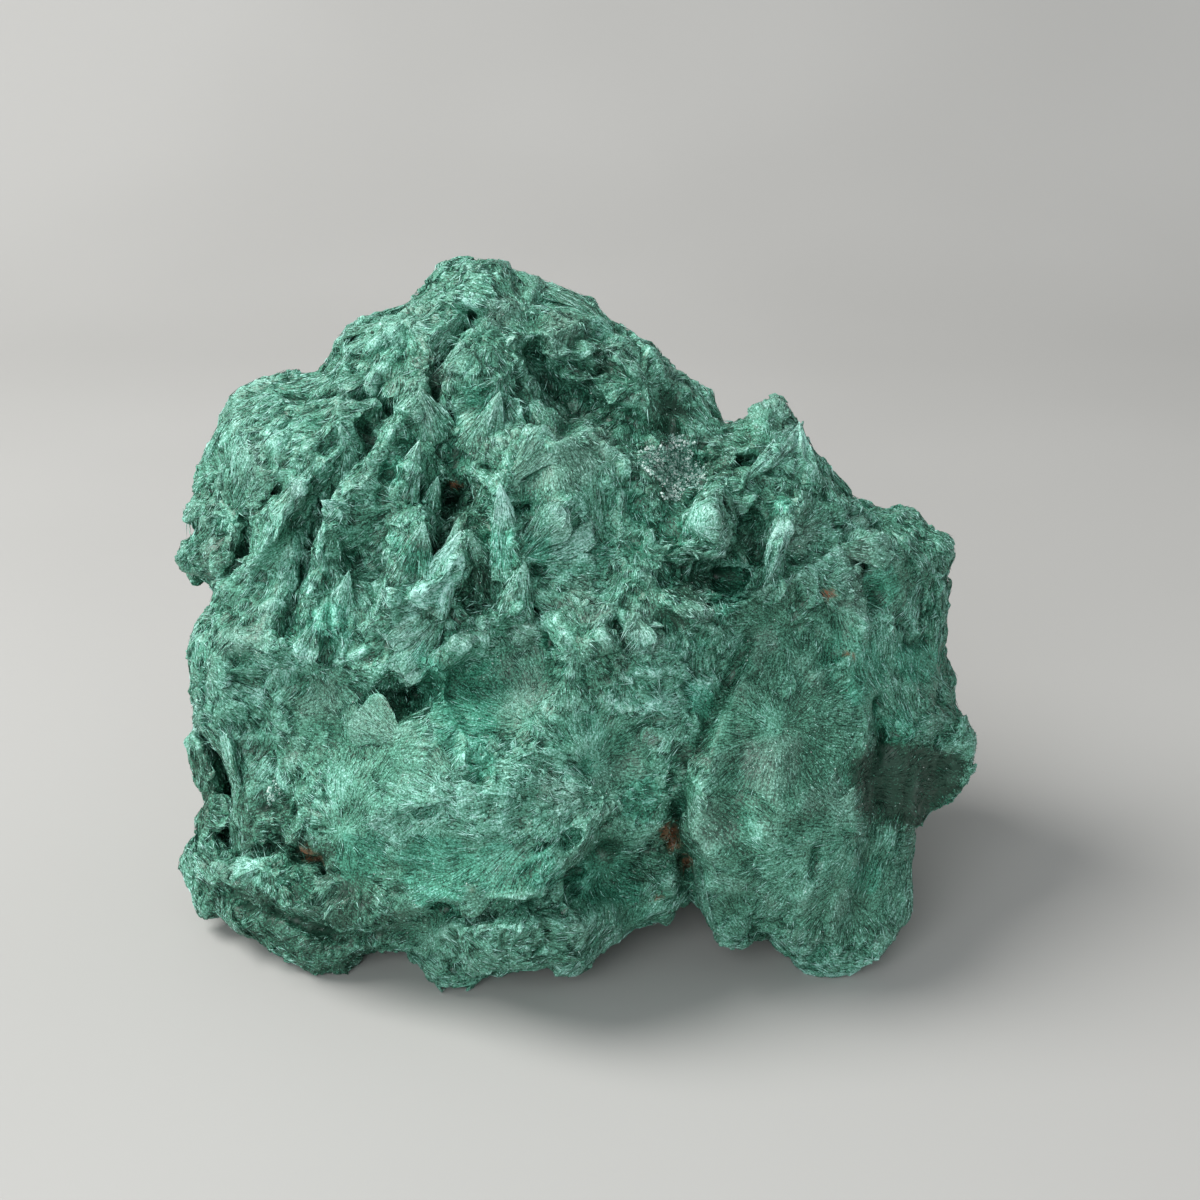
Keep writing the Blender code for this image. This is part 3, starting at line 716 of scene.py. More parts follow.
# Sprays: roots of the fans, first the ones that show in the photograph, then more
# all over the rest of the stone.
SPRAY_ROOTS = [
    # root in photo pixels, reach, way in photo pixels
    (500, 484, 1.2, 0, 1),
    (467, 531, 1.1, 0.3, 1),
    (459, 518, 1.2, -0.8, 1),
    (425, 522, 1.0, -0.2, 1),
    (438, 478, 0.8, -0.2, 1),
    (420, 440, 0.9, -0.3, 1),
    (500, 393, 1.2, -0.4, 1),
    (515, 550, 1.3, 0.8, -0.6),
    (525, 558, 1.1, 1, -0.2),
    (526, 563, 0.8, -0.2, 1),
    (314, 667, 1.6, 1, -0.4),
    (308, 668, 1.3, -1, 0.1),
    (285, 642, 0.9, 0, 1),
    (781, 725, 2.4, 0, 0),
    (537, 722, 1.8, -1, -0.3),
    (580, 655, 1.2, -0.2, 1),
    (588, 768, 1.4, 0, -1),
    (464, 690, 1.0, -1, 0.3),
    (478, 770, 1.2, 0.5, -1),
    (392, 598, 1.3, 1, -0.1),
    (446, 604, 1.5, -1, 0.7),
    (690, 555, 1.2, -0.2, 1),
    (722, 553, 1.2, 0.4, 1),
    (783, 501, 1.1, -0.3, 1),
    (800, 424, 1.2, -0.9, 1),
    (806, 440, 1.4, 0.4, 1),
    (624, 652, 1.3, 1, 0.6),
    (790, 628, 1.5, -1, 0.3),
    (404, 326, 1.4, -0.5, 1),
    (345, 395, 1.3, -1, 0.6),
    (338, 425, 1.2, -1, 0.6),
    (350, 440, 1.1, -0.2, 1),
    (300, 425, 1.2, -1, 0.5),
    (305, 470, 1.2, -0.5, 1),
    (300, 535, 1.4, -0.6, 1),
    (275, 560, 1.4, -0.7, 0.8),
    (250, 600, 1.2, -0.8, 0.6),
    (382, 425, 1.2, -0.9, 0.5),
    (404, 460, 1.2, -0.9, 0.4),
    (410, 500, 1.4, -1, 0.1),
    (335, 528, 1.0, 0, 1),
    (347, 574, 1.1, -0.1, 1),
    (330, 592, 1.3, 0, 1),
    (445, 800, 1.6, -1, 0.3),
    (565, 800, 1.6, -1, 0.6),
    (525, 840, 1.5, -1, 0.5),
    (605, 800, 1.5, -0.7, 0.8),
    (470, 872, 1.6, -1, 0),
    (340, 830, 1.5, 0.5, -1),
    (460, 905, 1.5, 0, 1),
    (400, 890, 1.5, 0.1, 1),
    (350, 880, 1.4, 0, 1),
    (520, 912, 1.5, 0.2, 1),
    (600, 860, 1.4, 0, 1),
    (720, 895, 1.5, 0.3, 1),
    (785, 900, 1.5, 0.3, 1),
    (840, 885, 1.4, 0, 1),
    (640, 560, 1.4, 0.6, 1),
    (640, 385, 1.6, -1, 0.3),
    (480, 335, 1.3, -0.7, 0.8),
]
SPRAY_SPACING = 9.5 * MM

dice = np.random.default_rng(23)
places = places_of(skin.data)
normals = normals_of(skin.data)
broad_normals = evened(skin.data, normals, 12)
broad_normals = unit_long(broad_normals)
spots, _ = in_photo(places)
faces_eye = normals @ TOWARDS_EYE > 0.15
roots = []
reaches = []
root_normals = []
root_ways = []
for x, y, reach, right, down in SPRAY_ROOTS:
    gap = np.hypot(*(spots - (x, y)).T) + np.where(faces_eye, 0, 1e6)
    nearest = gap.argmin()
    roots.append(places[nearest])
    root_normals.append(broad_normals[nearest])
    reaches.append(reach)
    root_ways.append(right * ACROSS - down * UP)
for index in dice.permutation(len(places))[:20000]:
    spot = places[index]
    gaps = np.linalg.norm(np.array(roots) - spot, axis=1)
    if (gaps / (np.array(reaches) + 1) * 2).min() > SPRAY_SPACING:
        roots.append(spot)
        root_normals.append(broad_normals[index])
        reaches.append(dice.uniform(0.75, 1.3))
roots = np.array(roots)
reaches = np.array(reaches)
root_normals = np.array(root_normals)
leans = dice.normal(size=roots.shape)
one_sided = np.ones(len(roots))
for number, way in enumerate(root_ways):
    one_sided[number] = 1.0 if np.any(way) else 0.0
    leans[number] = way if np.any(way) else ACROSS
leans -= root_normals * np.sum(leans * root_normals, axis=1)[:, None]
leans = unit_long(leans)
given = len(root_ways)
middles = roots.copy()
middles[:given] += leans[:given] * (one_sided[:given] * reaches[:given] * 5.5 * MM)[:, None]
roots[given:] -= leans[given:] * (reaches[given:] * dice.uniform(4, 14, len(roots) - given) * MM)[:, None]
roots -= root_normals * 1.0 * MM
rises = dice.uniform(-0.9, 1.3, len(roots))
first_ways = leans
second_ways = np.cross(root_normals, first_ways)
print("sprays", len(roots))


def spray_of(points):
    """The spray that each point belongs to, and its way and turn from the root."""
    shaken = np.stack([wander(points, 2.5 * MM, 50 + k) for k in range(3)], axis=1) * 0.7 * MM
    shaken += np.stack([wander(points, 0.8 * MM, 54 + k) for k in range(3)], axis=1) * 0.25 * MM
    shaken += points
    owner = np.empty(len(points), int)
    step = 20000
    squares = np.sum(middles**2, axis=1)
    for start in range(0, len(points), step):
        part = shaken[start : start + step]
        gap = np.sum(part**2, axis=1)[:, None] + squares - 2 * part @ middles.T
        owner[start : start + step] = (gap / reaches**2).argmin(axis=1)
    gap = points - roots[owner]
    far = np.linalg.norm(gap, axis=1)
    turn = np.arctan2(
        np.sum(gap * second_ways[owner], axis=1), np.sum(gap * first_ways[owner], axis=1)
    )
    return owner, gap, far, turn


def strands_of(points, owner, far, turn):
    """The strand that each point is in, as whole numbers, and its place across it."""
    across = turn * (5 + 4 * hashed(owner[:, None], 8)) + 0.5 * wander(points, 3 * MM, 58)
    strand = np.floor(across)
    length = (4 + 5 * hashed(np.stack((owner, strand), axis=1), 9)) * MM
    along = far / length + 5 * hashed(np.stack((strand, owner), axis=1), 10)
    return np.stack((owner, strand, np.floor(along)), axis=1), across - strand, along % 1


def spray_relief(points):
    """How far each point stands out, in metres: flutes, steps and rises of its spray."""
    owner, gap, far, turn = spray_of(points)
    strand, across, along = strands_of(points, owner, far, turn)
    reach = far / (8 * MM)
    ring = np.stack((np.cos(turn) * 4, np.sin(turn) * 4, owner * 7.31), axis=1)
    fine_ring = np.stack((np.cos(turn) * 13, np.sin(turn) * 13, owner * 5.17), axis=1)
    height = wander(ring, 1.0, 3) * 0.4 + wander(fine_ring, 1.0, 4) * 0.15
    height += (hashed(strand, 5) - 0.5) * 0.5 - 0.1 * (2 * across - 1) ** 2 + 0.25 * along
    height += rises[owner] * (np.clip(reach, 0, 1.6) - 0.7)
    height += wander(points, 1.0 * MM, 31) * 0.08
    height += 0.2 * (0.5 - abs(wander(points, 2.1 * MM, 32))) * 2
    height += 0.8 * (0.4 - abs(wander(points, 5.0 * MM, 33))) * 2
    return (height - 0.5) * MM, owner


print("time", round(time.time() - started, 1))
relief, owner = spray_relief(places)
calmness = zone_share("calm", places, broad_normals @ TOWARDS_EYE)
places = places + broad_normals * ((relief + 0.4 * MM) * (1 - 0.78 * calmness) - 0.4 * MM)[:, None]
put_places(skin.data, places)
print("time", round(time.time() - started, 1))
triangles = sum(len(face.vertices) - 2 for face in skin.data.polygons)
with_modifier(skin, "DECIMATE", ratio=min(1.0, SKIN_TRIANGLES / triangles))
# Only the outer shell is kept, and any torn edge in it is closed again
bpy.ops.object.select_all(action="DESELECT")
bpy.context.view_layer.objects.active = skin
skin.select_set(True)
bpy.ops.object.mode_set(mode="EDIT")
bpy.ops.mesh.select_mode(type="VERT")
bpy.ops.mesh.select_all(action="DESELECT")
bpy.ops.object.mode_set(mode="OBJECT")
skin.data.vertices[int(np.argmax(places_of(skin.data)[:, 2]))].select = True
bpy.ops.object.mode_set(mode="EDIT")
bpy.ops.mesh.select_linked()
bpy.ops.mesh.select_all(action="INVERT")
bpy.ops.mesh.delete(type="VERT")
bpy.ops.mesh.select_non_manifold()
bpy.ops.mesh.select_more()
bpy.ops.mesh.delete(type="FACE")
bpy.ops.mesh.select_all(action="SELECT")
bpy.ops.mesh.delete_loose()
bpy.ops.mesh.select_all(action="DESELECT")
bpy.ops.mesh.select_non_manifold()
bpy.ops.mesh.fill_holes(sides=0)
bpy.ops.mesh.select_all(action="SELECT")
bpy.ops.mesh.normals_make_consistent(inside=False)
bpy.ops.object.mode_set(mode="OBJECT")
with_modifier(skin, "TRIANGULATE")
low, high = (np.array(corner) for corner in solid_box)
margin = np.array((0.8, 0.8, 0.0)) * MM
low = low - margin * 0.5
high = high + (margin + (0, 0, 1.0 * MM)) * 0.5
places = np.clip(places_of(skin.data), low, high)
put_places(skin.data, places)
print("skin triangles", len(skin.data.polygons))
normals = normals_of(skin.data)

print("time", round(time.time() - started, 1))
# Shares of the stone that colour it: how sunken or proud each point is, at two
# sizes, and the chance tone of its spray. How sunken or proud a point is paints shade
# into the hollows and highlights onto the crests.
calm = evened(skin.data, places, 40)
near_calm = evened(skin.data, places, 8)
broad = evened(skin.data, normals, 30)
broad = unit_long(broad)
proud = np.sum((places - calm) * broad, axis=1) / MM
edge = np.sum((places - near_calm) * broad, axis=1) / MM
owner, gap, far, turn = spray_of(places)
strand, _, _ = strands_of(places, owner, far, turn)
tones = dice.uniform(0, 1, len(roots))
print("proud", np.percentile(proud, (2, 20, 50, 80, 98)), "edge", np.percentile(edge, (2, 20, 50, 80, 98)))


facing = broad @ TOWARDS_EYE
skin_shares = {
    "proud": np.clip(proud / 3.0, -1, 1),
    "edge": np.clip(edge / 0.6, -1, 1),
    "tone": tones[owner],
}
for name in ZONES:
    skin_shares[name] = zone_share(name, places, facing)


def store(mesh, name, values):
    made = mesh.attributes.new(name, "FLOAT", "POINT")
    made.data.foreach_set("value", values.astype(np.float32))


for name, values in skin_shares.items():
    store(skin.data, name, values)

corner_points = np.empty(len(skin.data.loops), np.int32)
skin.data.loops.foreach_get("vertex_index", corner_points)
corners = corner_points.reshape(-1, 3)
face_owner = owner[corners[:, 0]]
gap = places[corners] - roots[face_owner][:, None, :]
first = np.sum(gap * first_ways[face_owner][:, None, :], axis=2)
second = np.sum(gap * second_ways[face_owner][:, None, :], axis=2)
angle = np.arctan2(second, first)
jump = angle - angle[:, :1]
angle -= np.round(jump / (2 * math.pi)) * 2 * math.pi
distance = np.linalg.norm(gap, axis=2)
grain_map = np.stack((distance / (20 * MM) + face_owner[:, None] * 0.37, angle / (2 * math.pi) + face_owner[:, None] * 0.61), axis=2)
layer = skin.data.uv_layers.new(name="Grain")
layer.data.foreach_set("uv", grain_map.astype(np.float32).ravel())


def stone_finish(name, is_fibre):
    made, paint, finish = new_material(name)
    place = paint.node("TexCoord", None, None, out=3)
    proud = paint.attribute("proud")
    edge = paint.attribute("edge")
    tone = paint.attribute("tone")
    dust = paint.attribute("dust")
    dark = paint.attribute("dark")
    mint = paint.attribute("mint")
    rust = paint.attribute("rust")
    pale = paint.attribute("pale")
    drusy = paint.attribute("drusy")
    calm = paint.attribute("calm")
    speckle = paint.noise(place, 3200.0, 2.0, 0.6)
    if is_fibre:
        # A needle's shade is its chance tone, with painted glints on its brightest few
        streak = paint.attribute("shade")
        light = (streak - 0.5) * 0.85 + 0.42
    else:
        grain = paint.node("UVMap", {"uv_map": "Grain"})
        stretched = paint.node(
            "Mapping", None, {"Vector": grain, "Scale": (6.0, 220.0, 1.0)}
        )
        streak = paint.noise(stretched, 1.0, 2.0)
        light = (streak - 0.5) * 1.1 + 0.36
    # Painted shade and highlight: sunken points are made darker, proud points and crests lighter
    light = light + proud * 0.2 + edge * (0.22 - calm * 0.1) + (tone - 0.5) * (0.19 - calm * 0.11)
    light = light + (paint.noise(place, 420.0, 3.0) - 0.5) * (0.34 - calm * 0.14) + (speckle - 0.5) * 1.8
    pores = paint.noise(place, 1400.0, 1.0).over(0.66, 0.74) * (0.4 - calm * 0.15)
    # Pale and dark discs add painted light and painted shade, as well as the stone's own paler and darker patches
    light = light + mint * 0.02 + pale * 0.25 - dark * 0.32 - drusy * 0.3 - pores - 0.01
    stops = [
        (0.0, (0.010, 0.048, 0.028)),
        (0.25, (0.035, 0.148, 0.093)),
        (0.5, (0.085, 0.280, 0.192)),
        (0.75, (0.165, 0.445, 0.345)),
        (1.0, (0.410, 0.725, 0.655)),
    ]
    fresh_stops = [
        (0.0, (0.006, 0.052, 0.029)),
        (0.4, (0.037, 0.235, 0.146)),
        (0.75, (0.115, 0.450, 0.335)),
        (1.0, (0.360, 0.750, 0.660)),
    ]
    colour = paint.node("ValToRGB", {"stops": stops}, {"Fac": light})
    fresh = paint.node("ValToRGB", {"stops": fresh_stops}, {"Fac": light})
    green = (paint.noise(place, 70.0, 3.0, 0.6) - proud * 0.4 + mint * 0.6).over(0.5, 0.8)
    colour = (green * 0.75).mixed(colour, fresh)
    cover = (paint.noise(place, 110.0, 4.0, 0.65) + proud * 0.25 + dust * 0.22 - pale * 0.12 - mint * 0.3 - drusy * 0.5).over(0.5, 0.8)
    dusty = (speckle * 0.7 + light * 0.5).over(0.3, 1.0).mixed((0.10, 0.17, 0.14), (0.38, 0.50, 0.46))
    colour = (cover * 0.25).mixed(colour, dusty)
    colour = (rust * (speckle.over(0.3, 0.6))).mixed(colour, (0.20, 0.080, 0.035))
    connect(colour, finish, "Base Color")
    connect(paint.noise(place, 700.0, 2.0) * 0.6 + 0.2, finish, "Roughness")
    finish.inputs["Specular IOR Level"].default_value = 0.45
    return made


skin.data.materials.append(stone_finish("malachite_mass", False))
near_broad = unit_long(evened(skin.data, normals, 6))
bpy.ops.object.select_all(action="DESELECT")
bpy.context.view_layer.objects.active = skin
skin.select_set(True)
# A stray flap, which hangs on by one edge, is taken off last
bpy.ops.object.mode_set(mode="EDIT")
bpy.ops.mesh.select_mode(type="EDGE")
bpy.ops.mesh.select_all(action="DESELECT")
bpy.ops.mesh.select_non_manifold()
bpy.ops.mesh.select_mode(type="FACE")
bpy.ops.mesh.delete(type="FACE")
bpy.ops.mesh.select_mode(type="VERT")
bpy.ops.object.mode_set(mode="OBJECT")
bpy.ops.object.shade_smooth_by_angle(angle=math.radians(48))
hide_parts("malachite")
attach(skin, "root")


print("time", round(time.time() - started, 1))
# Crags
# Needles grown together into steep tents and broad lobes. A tent has its needles
# running down from its tip, and a lobe has them fanning out from its narrow root.
CRAG_SIDES = 26
CRAG_ROWS = 11
LOBE_SIDES = 16
LOBE_ROWS = 8
CHIP_SIDES = 9
CHIP_ROWS = 4


def unit_growth(sides, rows):
    """A unit cone from rings: angle and height of its points, 1 on a ring, and faces."""
    bpy.ops.object.select_all(action="DESELECT")
    bpy.ops.mesh.primitive_circle_add(vertices=sides, radius=1.0, fill_type="TRIFAN", location=(0, 0, 0))
    pattern = bpy.context.object
    bpy.ops.object.mode_set(mode="EDIT")
    bpy.ops.mesh.select_all(action="SELECT")
    bpy.ops.mesh.flip_normals()
    bpy.ops.mesh.select_all(action="DESELECT")
    bpy.ops.mesh.select_non_manifold()
    for _ in range(rows):
        bpy.ops.mesh.extrude_region_move(TRANSFORM_OT_translate={"value": (0, 0, 1 / rows)})
    bpy.ops.mesh.merge(type="CENTER")
    bpy.ops.mesh.select_all(action="SELECT")
    bpy.ops.mesh.quads_convert_to_tris()
    bpy.ops.object.mode_set(mode="OBJECT")
    unit = places_of(pattern.data)
    around = np.empty(len(pattern.data.loops), np.int32)
    pattern.data.loops.foreach_get("vertex_index", around)
    bpy.data.objects.remove(pattern)
    turn = np.arctan2(unit[:, 1], unit[:, 0])
    return turn, np.clip(unit[:, 2], 0, 1), np.hypot(unit[:, 0], unit[:, 1]).round(), around.reshape(-1, 3)


tent_unit = unit_growth(CRAG_SIDES, CRAG_ROWS)
big_lobe_unit = unit_growth(CRAG_SIDES, CRAG_ROWS)
lobe_unit = unit_growth(LOBE_SIDES, LOBE_ROWS)
chip_unit = unit_growth(CHIP_SIDES, CHIP_ROWS)
spots, out = in_photo(places)
shows = normals @ TOWARDS_EYE > 0.0


def depth_at(x, y, reach, percent):
    """How far out the stone stands around a point of the photograph, in metres."""
    near = shows & (np.hypot(spots[:, 0] - x, spots[:, 1] - y) < reach)
    return np.percentile(out[near], percent)


def from_photo(x, y, depth):
    """The point that shows at x, y in the photograph and stands out by depth."""
    nearer = SIGHT / (SIGHT - depth)
    right = (x - PHOTO_MIDDLE) / (nearer * PHOTO_SCALE)
    down = (y - PHOTO_MIDDLE) / (nearer * PHOTO_SCALE)
    return AIM + ACROSS * right - UP * down + TOWARDS_EYE * depth


def chance(seed, number):
    return hashed(np.array([[seed, number]]), 3)[0]


def grown(unit, axis, wide, deep, side, seed):
    """Points of one growth. axis runs from foot to tip, side is the way it is wide."""
    turn, along, ringed, _ = unit
    axis = np.array(axis)
    is_tent = unit is tent_unit
    stations = np.linspace(0, 1, len(axis))
    spine = np.stack([np.interp(along, stations, axis[:, k]) for k in range(3)], axis=1)
    way = axis[-1] - axis[0]
    long = np.linalg.norm(way)
    way = way / long
    side = side - way * (side @ way)
    side = side / np.linalg.norm(side)
    front = np.cross(way, side)
    facets = 3 + int(chance(seed, 1) * 2.99)
    starts = hashed(np.array([[seed, k] for k in range(facets)]), 4) * 0.6
    edges = (np.arange(facets) + starts) * 2 * math.pi / facets
    turn = turn + 0.25 * along * (chance(seed, 2) - 0.5)
    reach = np.min([1 / np.maximum(np.cos(turn - edge), 0.35) for edge in edges], axis=0)
    ring = np.stack((np.cos(turn) * 1.6, np.sin(turn) * 1.6, along * 2.5 + seed * 3.7), axis=1)
    fine = np.stack((np.cos(turn) * 4, np.sin(turn) * 4, along * 3 + seed * 1.3), axis=1)
    reach = np.clip(reach, 0.7, 1.35) * (1 + 0.22 * wander(ring, 1.0, 6) + 0.16 * wander(fine, 1.0, 7))
    if is_tent:
        widths = (1 - along) ** 0.87
        depths = widths
    else:
        closing = np.sqrt(1 - np.clip((along - 0.7) / 0.3, 0, 1) ** 3)
        widths = (0.35 + 0.65 * between(along, 0, 0.85)) * closing
        depths = (0.55 + 0.45 * along) * closing
        ragged = np.stack((np.cos(turn) * 3.2, np.full(len(turn), seed * 2.1), np.sin(turn)), axis=1)
        frayed = wander(ragged, 1.0, 8) * 0.22 + wander(ragged * 2.7, 1.0, 9) * 0.2
        spine = spine + way * (frayed * long * along**2 * ringed)[:, None]
    return (
        spine
        + side * (np.cos(turn) * ringed * reach * widths * wide)[:, None]
        + front * (np.sin(turn) * ringed * reach * depths * deep)[:, None]
    )


LOBES = [
    # lift at the end, half width, half thickness, tone, line from root to end
    (1.6, 17, 11, 0.35, [(516, 558), (540, 532), (566, 512)]),
    (1.4, 13, 9, 0.4, [(522, 562), (556, 552), (592, 532)]),
    (1.6, 7, 5, 0.8, [(787, 500), (783, 530), (768, 568)]),
    (2.5, 9, 8, 0.7, [(742, 482), (765, 462), (797, 427)]),
    (2.0, 14, 9, 0.7, [(444, 606), (420, 622), (388, 640)]),
    (2.0, 18, 10, 0.6, [(446, 604), (425, 650), (400, 672)]),
    (1.8, 16, 8, 0.6, [(512, 480), (535, 455), (556, 438)]),
]
growths = []
sources = []
growth_tones = []
for number, (height, width, tone, line) in enumerate(SPIRES):
    tip_depth = depth_at(*line[0], 16, 70) + height * MM
    foot_depth = depth_at(*line[-1], 10, 50) - (1.0 + width * 0.07) * MM
    axis = []
    for index, (x, y) in enumerate(reversed(line)):
        share = index / (len(line) - 1)
        axis.append(from_photo(x, y, foot_depth + (tip_depth - foot_depth) * share))
    wide = width / PHOTO_SCALE
    growths.append((tent_unit, grown(tent_unit, axis, wide, wide * 0.8, ACROSS, number)))
    sources.append(axis[-1])
    growth_tones.append(tone)
for number, (height, width, thick, tone, line) in enumerate(LOBES):
    axis = []
    for index, (x, y) in enumerate(line):
        share = index / (len(line) - 1)
        depth = depth_at(x, y, 9, 50) + (height * share - 1.2 * (1 - share)) * MM
        axis.append(from_photo(x, y, depth))
    way = axis[-1] - axis[0]
    side = np.cross(way, TOWARDS_EYE)
    grown_points = grown(big_lobe_unit, axis, width / PHOTO_SCALE, thick / PHOTO_SCALE, side, 40 + number)
    growths.append((big_lobe_unit, grown_points))
    sources.append(axis[0] - way * 0.4)
    growth_tones.append(tone)
given_growths = len(growths)

skin_tree = BVHTree.FromPolygons(places.tolist(), corners.tolist())
TENTS_IN_ALL = 120
LOBE_KINDS = [
    # how many, gap in front, gap behind, length from, to, half width from, to, half thickness from, to
    (260, 7.0, 9.0, 8.0, 13.0, 0.22, 0.36, 0.6, 1.0),
    (620, 3.6, 5.5, 4.5, 7.5, 0.18, 0.34, 0.4, 0.8),
    (700, 2.6, 3.9, 2.2, 4.2, 0.20, 0.38, 0.3, 0.6),
    (2500, 1.35, 2.4, 1.2, 2.6, 0.26, 0.44, 0.28, 0.55),
]


pits = [row for row in GULLIES if row[1] < 10]
in_pit = (stroked(spots, pits, trough) > 1.5) & (facing > 0)


def sites(count, front_gap, back_gap, taken, in_calm):
    """Places of points of the skin that keep a gap between them, wider behind."""
    chosen = []
    settled = list(taken)
    calm = skin_shares["calm"]
    for index in dice.permutation(len(places)):
        if len(chosen) == count:
            break
        if in_pit[index]:
            continue
        if calm[index] > 0.5 and hashed(np.array([[index, 7]]), 9)[0] > in_calm:
            continue
        gap = front_gap if facing[index] > 0 else back_gap
        if places[index][2] < 4 * MM and near_broad[index][2] < -0.5:
            gap = back_gap * 1.6
        offsets = np.array(settled) - places[index]
        if np.sum(offsets**2, axis=1).min() > gap * gap:
            chosen.append(index)
            settled.append(places[index])
    return chosen


def on_skin(spot):
    found = skin_tree.find_nearest(spot)
    return np.array(found[0]), np.array(found[1])


taken = [points.mean(axis=0) for _, points in growths]
for number, index in enumerate(sites(TENTS_IN_ALL, 8.5 * MM, 8 * MM, taken, 0.1)):
    spot = places[index]
    way = near_broad[index] * 0.5 + np.array((0, 0, 0.35)) + first_ways[owner[index]] * 0.7
    way /= np.linalg.norm(way)
    long = dice.uniform(2.2, 4.2) * MM
    wide = dice.uniform(0.38, 0.6) * long
    foot = spot - near_broad[index] * 1.7 * MM - way * long * 0.35
    tip = foot + way * long * 1.35
    side = np.cross(way, near_broad[index])
    deep = wide * dice.uniform(0.5, 0.85)
    growths.append((tent_unit, grown(tent_unit, [foot, tip], wide, deep, side, 100 + number)))
    sources.append(tip)
    growth_tones.append(dice.uniform(0.2, 0.9))
tents_end = len(growths)
for kind, row in enumerate(LOBE_KINDS):
    amount, front_gap, back_gap, *ranges = row
    unit = (big_lobe_unit, lobe_unit, lobe_unit, chip_unit)[kind]
    chosen = sites(amount, front_gap * MM, back_gap * MM, taken[:1] if kind else taken, (1.0, 0.15, 0.08, 0.06)[kind])
    for number, index in enumerate(chosen):
        spot = places[index]
        up = near_broad[index]
        way = spot - roots[owner[index]] + first_ways[owner[index]] * 2 * MM
        way = way - up * (way @ up)
        way /= np.linalg.norm(way)
        side = np.cross(way, up)
        sway = dice.normal(0, 0.2)
        way = way * math.cos(sway) + side * math.sin(sway)
        calm = skin_shares["calm"][index]
        long = dice.uniform(ranges[0], ranges[1]) * MM
        wide = dice.uniform(ranges[2], ranges[3]) * long
        deep = dice.uniform(ranges[4], ranges[5]) * MM * (1 - 0.5 * calm)
        rise = (dice.uniform(-0.2, 0.6) * (1 - 0.7 * calm) + (0.1 if kind == 3 else -0.15)) * MM
        foot, foot_up = on_skin(spot - way * long * 0.5)
        end, end_up = on_skin(spot + way * long * 0.5)
        if min(foot_up @ up, end_up @ up) < 0.75:
            long *= 0.55
            wide *= 0.75
            foot, foot_up = on_skin(spot - way * long * 0.5)
            end, end_up = on_skin(spot + way * long * 0.5)
        axis = [foot - foot_up * 0.8 * MM, spot + up * (rise * 0.3 - 0.1 * MM), end + end_up * rise]
        growths.append((unit, grown(unit, axis, wide, deep, side, 400 + len(growths))))
        sources.append(foot - way * long * 0.7)
        growth_tones.append(dice.uniform(0.1, 0.9))
sources = np.array(sources)
growth_places = np.concatenate([points for _, points in growths])
counts = np.array([len(points) for _, points in growths])
starts = np.concatenate(([0], np.cumsum(counts)))[:-1]
growth_corners = np.concatenate([unit[3] + start for (unit, _), start in zip(growths, starts)])
growth_of_face = np.repeat(np.arange(len(growths)), [len(unit[3]) for unit, _ in growths])
growth_of_point = np.repeat(np.arange(len(growths)), counts)
spare = (0.3 + 0.6 * hashed(np.arange(len(growths))[:, None], 15))[growth_of_point, None] * margin
growth_places = np.clip(growth_places, low - spare, high + spare)
growth_turn = np.concatenate([unit[0] for unit, _ in growths])
growth_along = np.concatenate([unit[1] for unit, _ in growths])
print("growths", len(growths), "triangles", len(growth_corners))
skin_points = KDTree(len(places))
for index, spot in enumerate(places):
    skin_points.insert(spot, index)
skin_points.balance()
nearest = np.array([skin_points.find(spot)[1] for spot in growth_places])
sunk = np.sum((growth_places - places[nearest]) * normals[nearest], axis=1) < -0.15 * MM
growth_shares = {name: values[nearest] for name, values in skin_shares.items()}
# Tents and lobes are made lighter towards their tips and ends and darker at their feet: painted highlight at the
# tips, painted shade at the roots
tented = growth_of_point < tents_end
growth_shares["proud"] = np.where(
    tented, growth_shares["proud"] * 0.4 + 0.1 + growth_along * 0.7, growth_shares["proud"] + 0.1
)
growth_shares["edge"] = np.where(tented, growth_along * 0.9 - 0.1, growth_along * 0.9 - 0.45)
growth_shares["tone"] = np.array(growth_tones)[growth_of_point]
gap = growth_places[growth_corners] - sources[growth_of_face][:, None, :]
angle = growth_turn[growth_corners]
angle -= np.round((angle - angle[:, :1]) / (2 * math.pi)) * 2 * math.pi
grain_map = np.stack(
    (np.linalg.norm(gap, axis=2) / (20 * MM) + growth_of_face[:, None] * 0.37, angle / (2 * math.pi) * 0.3 + growth_of_face[:, None] * 0.61),
    axis=2,
)
GROWTH_FACES = 190000
first_face = 0
number = 1
growth_normals = np.zeros(growth_places.shape)
while first_face < len(growth_corners):
    last_face = min(first_face + GROWTH_FACES, len(growth_corners))
    while last_face < len(growth_corners) and growth_of_face[last_face] == growth_of_face[last_face - 1]:
        last_face -= 1
    part = growth_corners[first_face:last_face]
    first_point = part.min()
    last_point = part.max() + 1
    name = f"crags_{number}"
    mesh = bpy.data.meshes.new(name)
    mesh.from_pydata(growth_places[first_point:last_point].tolist(), [], (part - first_point).tolist())
    crags = bpy.data.objects.new(name, mesh)
    bpy.context.scene.collection.objects.link(crags)
    growth_normals[first_point:last_point] = normals_of(mesh)
    for share_name, values in growth_shares.items():
        store(mesh, share_name, values[first_point:last_point])
    layer = mesh.uv_layers.new(name="Grain")
    layer.data.foreach_set("uv", grain_map[first_face:last_face].astype(np.float32).ravel())
    mesh.materials.append(skin.data.materials[0])
    bpy.ops.object.select_all(action="DESELECT")
    bpy.context.view_layer.objects.active = crags
    crags.select_set(True)
    bpy.ops.object.shade_smooth_by_angle(angle=math.radians(48))
    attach(crags, "root")
    first_face = last_face
    number += 1
buried = sunk[growth_corners].all(axis=1)
print("buried faces", buried.mean())


print("time", round(time.time() - started, 1))
# Needles
# The velvet of the stone: fine needles pressed into its face along each spray, with
# some lifted free at their tips. Each is a closed sliver of four faces.
NEEDLES_PER_PIECE = 48500
NEEDLE_PIECES = 4
NEEDLE_WIDTH = 0.175 * MM
